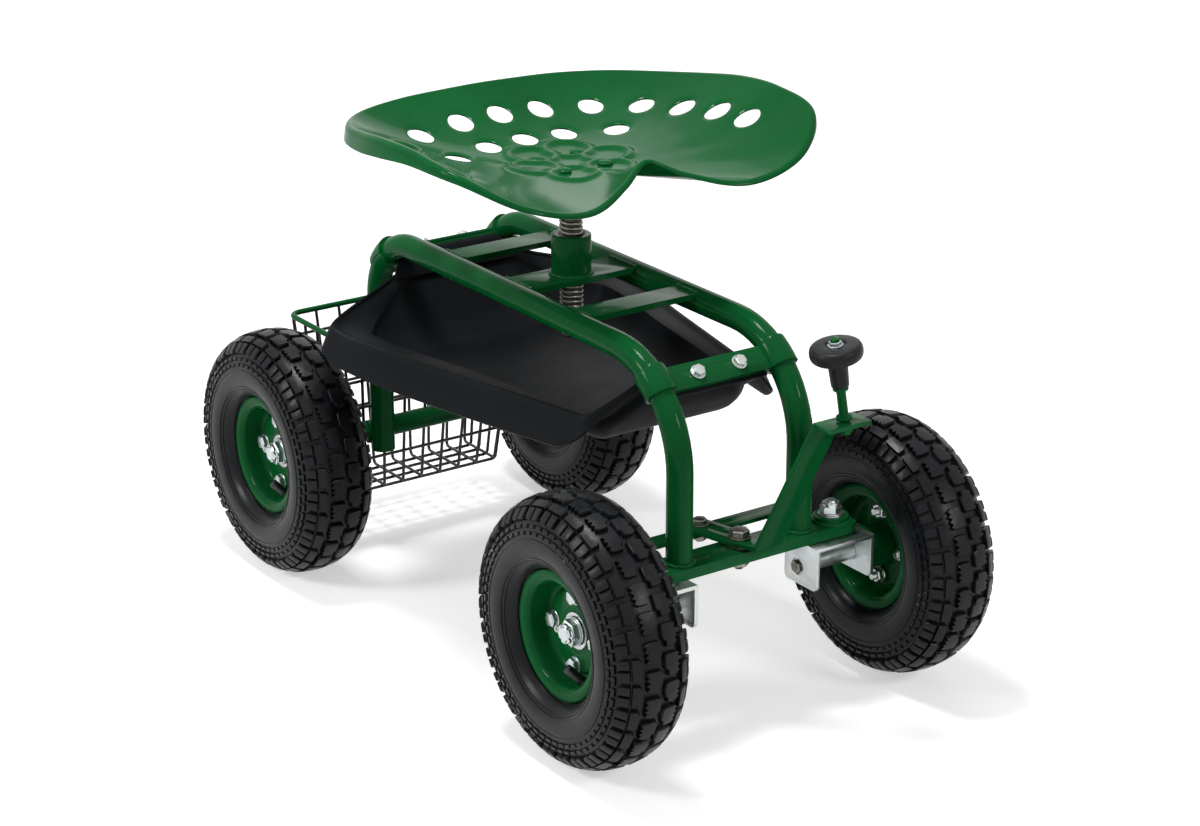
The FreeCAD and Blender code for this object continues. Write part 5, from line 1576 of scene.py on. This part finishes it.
def make_seat_mount():
    add_piece("seat_socket_cap", rounded_copy("seat_socket", 1.2), "green_enamel", "seat", ("seat_socket",))
    heads = []
    nuts = []
    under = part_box("seat_socket")[1][2] - 6.0 * MM
    for k in range(4):
        turn = math.radians(45.0 + 90.0 * k)
        x = POST.x + SEAT_BOLT_RADIUS * math.cos(turn)
        y = POST.y + SEAT_BOLT_RADIUS * math.sin(turn)
        heads.append(((x, y, SEAT_Z + 1.2 * MM), UP, 0.2 * k))
        nuts.append(((x, y, under), DOWN, 0.3 * k))
    bolts = fasten(round_head(radius=7.6, height=3.2), heads, "green_enamel")
    add_piece("seat_bolt_heads", bolts, "green_enamel", "seat", ("seat_bolts",))
    tips = fasten(hex_nut(flats=13.0, height=6.5, stud_r=4.0, tip=2.4, washer_r=8.2, washer_h=1.2), nuts)
    add_piece("seat_bolt_nuts", tips, "zinc_plate", "seat")
    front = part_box("swivel_lock_bolt")[0][1]
    bolt = turned_mesh(
        "lock_bolt", FASTENER_ANGLE, hex_stack(13.0, 0.0, LOCK_HEAD), threaded_tip(4.0, -27.0, 0.6))
    forward = Matrix.Rotation(math.radians(90.0), 4, "X")
    place = (POST.x, front + LOCK_HEAD * MM, middle("swivel_lock_bolt").z)
    placed(bolt, Matrix.Translation(place) @ forward)
    add_piece("swivel_lock_screw", bolt, "black_wire_paint", "seat", ("swivel_lock_bolt",))


POST_R = 12.0


def make_post():
    pitch = sizes().thread_pitch
    length = POST_TOP - POST_FOOT
    tall = length / MM
    root = POST_R - 0.5 * pitch / MM
    tip = root * 0.8
    core = root + 0.2
    stem = turned_mesh("post_core", 30.0, ([(tip, 0.0), (core, 1.0), (core, tall - 1.0), (tip, tall)], 40))
    thread = run_tree("screw_thread", stem, "oiled_thread_steel", **{
        "Crest Radius": POST_R * MM, "Pitch": pitch, "Length": length - 2.0 * MM})
    mesh = placed(joined([thread], "seat_post", 50.0), Matrix.Translation((POST.x, POST.y, POST_FOOT)))
    add_piece("threaded_seat_post", mesh, "oiled_thread_steel", "seat_post", ("threaded_post",))


# Steering. The knob's lines are (radius, height) in mm, from the foot of its rod.
KNOB_SLEEVE = [(7.0, 36.0), (8.0, 36.2), (8.5, 37.2), (8.9, 46.0), (9.4, 55.0), (10.6, 59.0), (13.6, 61.4),
               (17.0, 62.4)]
KNOB_DISC = [(17.0, 62.4), (21.0, 63.2), (23.6, 64.8), (24.8, 67.4), (25.1, 70.0), (24.8, 73.4),
             (23.6, 76.0), (21.0, 77.5), (15.0, 78.0), (11.0, 78.0)]
KNOB_SEAT = 76.8
KNOB_LEAN = math.radians(10.0)
KNOB_FOOT = Vector((73.0 * MM, FRONT_Y - 60.0 * MM, 297.0 * MM))


def knob_matrix():
    axis = Vector((-math.sin(KNOB_LEAN), 0.0, math.cos(KNOB_LEAN)))
    return Matrix.Translation(KNOB_FOOT) @ axis.to_track_quat("Z", "Y").to_matrix().to_4x4()


def make_knob():
    profile = spline(KNOB_SLEEVE, 3) + spline(KNOB_DISC, 4)[1:]
    profile += [(9.2, KNOB_SEAT + 0.6), (8.8, KNOB_SEAT), (4.8, KNOB_SEAT)]
    knob = placed(turned_mesh("knob", 44.0, (profile, 72)), knob_matrix())
    add_piece("steering_knob_moulded", knob, "moulded_knob_plastic", "knob", ("steering_knob",))


def make_knob_fasteners():
    base = knob_matrix()
    along = base.to_3x3() @ Vector(UP)
    top = [(base @ Vector((0.0, 0.0, KNOB_SEAT * MM)), along, 0.2)]
    nut = fasten(hex_head(flats=11.0, height=3.4, washer_r=7.4, washer_h=1.2), top)
    add_piece("knob_fasteners", nut, "zinc_plate", "steering", ("knob_nut",))
    foot = [(base @ Vector((0.0, 0.0, -6.0 * MM)), -along, 0.2)]
    nut = fasten(hex_nut(flats=13.0, height=5.0, stud_r=4.5, tip=1.4), foot, "green_enamel")
    add_piece("knob_foot_nut", nut, "green_enamel", "steering")


def make_stub_axle_heads():
    for name, side in SIDES:
        low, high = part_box(name + "_stub_axle")
        inner = low[0] if side > 0.0 else high[0]
        places = [((inner, FRONT_Y, AXLE_Z), (-side, 0.0, 0.0), 0.25)]
        head = fasten(hex_head(flats=12.0, height=4.4), places, "oiled_thread_steel")
        add_piece(name + "_stub_axle_head", head, "oiled_thread_steel", name + "_knuckle")


def make_tie_pivots():
    tie_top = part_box("tie_bar")[1][2]
    lever_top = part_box("steering_lever")[0][2] + LEVER_SHEET
    heads = []
    nuts = []
    for x, high, foot in (
        (-KINGPIN_X, tie_top, tie_top - 8.8 * MM),
        (0.0, lever_top + 0.3 * MM, tie_top - 4.0 * MM),
        (KINGPIN_X, tie_top, tie_top - 8.8 * MM),
    ):
        heads.append(((TIE_X + x, TIE_Y, high), UP, 0.3 + x))
        nuts.append(((TIE_X + x, TIE_Y, foot), DOWN, 0.6 - x))
    head = hex_head(flats=13.0, height=5.0, washer_r=8.2, washer_h=1.0)
    nut = hex_nut(flats=13.0, height=6.5, stud_r=4.0, tip=1.6)
    bolts = fasten(head, heads, "oiled_thread_steel")
    tips = fasten(nut, nuts, "oiled_thread_steel")
    pivots = joined([bolts, tips], "tie_pivots", FASTENER_ANGLE)
    add_piece("tie_pivot_bolts", pivots, "oiled_thread_steel", "tie_bar", ("tie_bolts",))


def make_steering():
    add_finished((
        ("steering_lever", 1.0, "green_enamel", "steering"),
        ("tie_bar", 0.9, "green_enamel", "tie_bar"),
        ("knob_rod", 0.6, "green_enamel", "steering"),
        ("right_knuckle", 1.4, "zinc_plate", "right_knuckle"),
        ("left_knuckle", 1.4, "zinc_plate", "left_knuckle"),
    ))
    make_knob_fasteners()
    make_stub_axle_heads()
    make_tie_pivots()


# Stage.
CAMERA_PLACE = (-1.5497, -2.2712, 1.2478)
CAMERA_TARGET = (0.0475, 0.0226, 0.2)
CAMERA_LENS = 87.8
SENSOR_WIDTH = 36.0
FLOOR_HALF = 14.0
# Strength of the floor's glow, To, over the distance from the origin in metres, From.
FLOOR_GLOW = {"From Min": 0.8, "From Max": 3.2, "To Min": 0.5, "To Max": 0.8}
# Square lamps: name, place, target, size, watts.
LAMPS = (
    ("overhead_box", (-0.3, 0.3, 2.6), (0.0, 0.0, 0.3), 0.5, 42.0),
    ("left_box", (-2.3, 0.5, 1.7), (0.0, 0.0, 0.3), 0.6, 32.0),
    ("front_box", (0.9, -2.8, 1.9), (0.0, 0.0, 0.3), 0.6, 28.0),
    ("back_box", (1.6, 2.2, 1.45), (0.0, 0.0, 0.4), 1.3, 4.5),
)


def seen_white(tree):
    """1 for camera, glossy and transmission rays, 0 for the rest."""
    rays = tree.nodes.new("ShaderNodeLightPath").outputs
    seen = math_node(tree, "MAXIMUM", rays["Is Camera Ray"], rays["Is Glossy Ray"])
    return math_node(tree, "MAXIMUM", seen, rays["Is Transmission Ray"])


def make_floor():
    """A wide matt floor that also glows where it is seen, more so farther out."""
    bm = bmesh.new()
    bmesh.ops.create_grid(bm, x_segments=12, y_segments=12, size=FLOOR_HALF)
    mesh = plain_mesh(bm, "pale_floor")
    material = bpy.data.materials.new("pale_floor")
    material.use_nodes = True
    tree = material.node_tree
    tree.nodes.clear()
    matt = add_node(tree, "ShaderNodeBsdfDiffuse", {"Color": colours().floor})
    place = tree.nodes.new("ShaderNodeTexCoord").outputs["Object"]
    span = add_node(tree, "ShaderNodeVectorMath", {0: place}, operation="LENGTH")
    level = add_node(tree, "ShaderNodeMapRange", {"Value": span.outputs["Value"], **FLOOR_GLOW})
    lift = math_node(tree, "MULTIPLY", seen_white(tree), level.outputs["Result"])
    glow = add_node(tree, "ShaderNodeEmission", {"Color": WHITE, "Strength": lift})
    both = add_node(tree, "ShaderNodeAddShader", {0: matt.outputs[0], 1: glow.outputs[0]})
    add_node(tree, "ShaderNodeOutputMaterial", {"Surface": both.outputs[0]})
    mesh.materials.append(material)
    linked("pale_floor", mesh)


def make_world():
    world = bpy.data.worlds.new("studio")
    bpy.context.scene.world = world
    world.use_nodes = True
    tree = world.node_tree
    glow = tree.nodes["Background"]
    glow.inputs["Color"].default_value = WHITE
    level = add_node(tree, "ShaderNodeMapRange", {"Value": seen_white(tree), "To Min": 0.3, "To Max": 1.0})
    tree.links.new(level.outputs["Result"], glow.inputs["Strength"])


def aimed(name, data, place, target):
    piece = linked(name, data)
    piece.location = place
    piece.rotation_euler = (Vector(target) - Vector(place)).to_track_quat("-Z", "Y").to_euler()
    return piece


def make_stage():
    make_floor()
    make_world()
    for name, place, target, size, watts in LAMPS:
        light = bpy.data.lights.new(name, "AREA")
        light.shape = "SQUARE"
        light.size = size
        light.energy = watts
        aimed(name, light, place, target)
    lens = bpy.data.cameras.new("photo_camera")
    lens.sensor_width = SENSOR_WIDTH
    lens.lens = CAMERA_LENS
    bpy.context.scene.camera = aimed("photo_camera", lens, CAMERA_PLACE, CAMERA_TARGET)
    bpy.context.scene.view_settings.view_transform = "Standard"


# Operators.
class GARDENSEAT_OT_finishes(bpy.types.Operator):
    """Make the finishes and the node trees"""
    bl_idname = "garden_seat.finishes"
    bl_label = "Finishes and trees"

    def execute(self, context):
        make_finishes()
        make_trees()
        return {"FINISHED"}


class GARDENSEAT_OT_stage(bpy.types.Operator):
    """Make the floor, the lights and the camera"""
    bl_idname = "garden_seat.stage"
    bl_label = "Stage"

    def execute(self, context):
        make_stage()
        return {"FINISHED"}


class GARDENSEAT_OT_tyres(bpy.types.Operator):
    """Make the four tyres with their tread"""
    bl_idname = "garden_seat.tyres"
    bl_label = "Tyres"

    def execute(self, context):
        make_tyres()
        return {"FINISHED"}


class GARDENSEAT_OT_rims(bpy.types.Operator):
    """Make the rims, their fasteners and valves"""
    bl_idname = "garden_seat.rims"
    bl_label = "Rims"

    def execute(self, context):
        make_rims()
        return {"FINISHED"}


class GARDENSEAT_OT_axle_ends(bpy.types.Operator):
    """Make the castle nuts and cotter pins"""
    bl_idname = "garden_seat.axle_ends"
    bl_label = "Axle ends"

    def execute(self, context):
        make_axle_ends()
        return {"FINISHED"}


class GARDENSEAT_OT_frame(bpy.types.Operator):
    """Make the rails, plates and welds"""
    bl_idname = "garden_seat.frame"
    bl_label = "Frame"

    def execute(self, context):
        make_rails()
        make_frame_plates()
        make_welds()
        return {"FINISHED"}


class GARDENSEAT_OT_fasteners(bpy.types.Operator):
    """Make the frame's nuts and bolts"""
    bl_idname = "garden_seat.fasteners"
    bl_label = "Frame fasteners"

    def execute(self, context):
        make_clamp_fasteners()
        make_kingpins()
        make_lever_pivot()
        return {"FINISHED"}


class GARDENSEAT_OT_tray(bpy.types.Operator):
    """Make the moulded tool tray"""
    bl_idname = "garden_seat.tray"
    bl_label = "Tool tray"

    def execute(self, context):
        make_tray()
        return {"FINISHED"}


class GARDENSEAT_OT_basket(bpy.types.Operator):
    """Make the wire basket"""
    bl_idname = "garden_seat.basket"
    bl_label = "Basket"

    def execute(self, context):
        make_basket()
        return {"FINISHED"}


class GARDENSEAT_OT_seat(bpy.types.Operator):
    """Make the pressed seat and its mount"""
    bl_idname = "garden_seat.seat"
    bl_label = "Seat"

    def execute(self, context):
        make_seat()
        make_seat_mount()
        return {"FINISHED"}


class GARDENSEAT_OT_post(bpy.types.Operator):
    """Make the threaded seat post"""
    bl_idname = "garden_seat.post"
    bl_label = "Seat post"

    def execute(self, context):
        make_post()
        return {"FINISHED"}


class GARDENSEAT_OT_steering(bpy.types.Operator):
    """Make the steering linkage and knob"""
    bl_idname = "garden_seat.steering"
    bl_label = "Steering"

    def execute(self, context):
        make_steering()
        make_knob()
        return {"FINISHED"}


OPERATORS = (
    GARDENSEAT_OT_finishes,
    GARDENSEAT_OT_stage,
    GARDENSEAT_OT_tyres,
    GARDENSEAT_OT_rims,
    GARDENSEAT_OT_axle_ends,
    GARDENSEAT_OT_frame,
    GARDENSEAT_OT_fasteners,
    GARDENSEAT_OT_tray,
    GARDENSEAT_OT_basket,
    GARDENSEAT_OT_seat,
    GARDENSEAT_OT_post,
    GARDENSEAT_OT_steering,
)


class GARDENSEAT_PT_panel(bpy.types.Panel):
    """Lists the builders in the sidebar"""
    bl_idname = "GARDENSEAT_PT_panel"
    bl_label = "Garden seat"
    bl_space_type = "VIEW_3D"
    bl_region_type = "UI"
    bl_category = "Garden seat"

    def draw(self, context):
        for item in OPERATORS:
            self.layout.operator(item.bl_idname)


CLASSES = (GardenSeatSizes, GardenSeatColours) + OPERATORS + (GARDENSEAT_PT_panel,)


def register():
    for item in CLASSES:
        bpy.utils.register_class(item)
    bpy.types.Scene.garden_seat_sizes = bpy.props.PointerProperty(type=GardenSeatSizes)
    bpy.types.Scene.garden_seat_colours = bpy.props.PointerProperty(type=GardenSeatColours)


def unregister():
    del bpy.types.Scene.garden_seat_colours
    del bpy.types.Scene.garden_seat_sizes
    for item in reversed(CLASSES):
        bpy.utils.unregister_class(item)


def main():
    register()
    for item in OPERATORS:
        group, name = item.bl_idname.split(".")
        getattr(getattr(bpy.ops, group), name)()


if __name__ == "__main__":
    main()
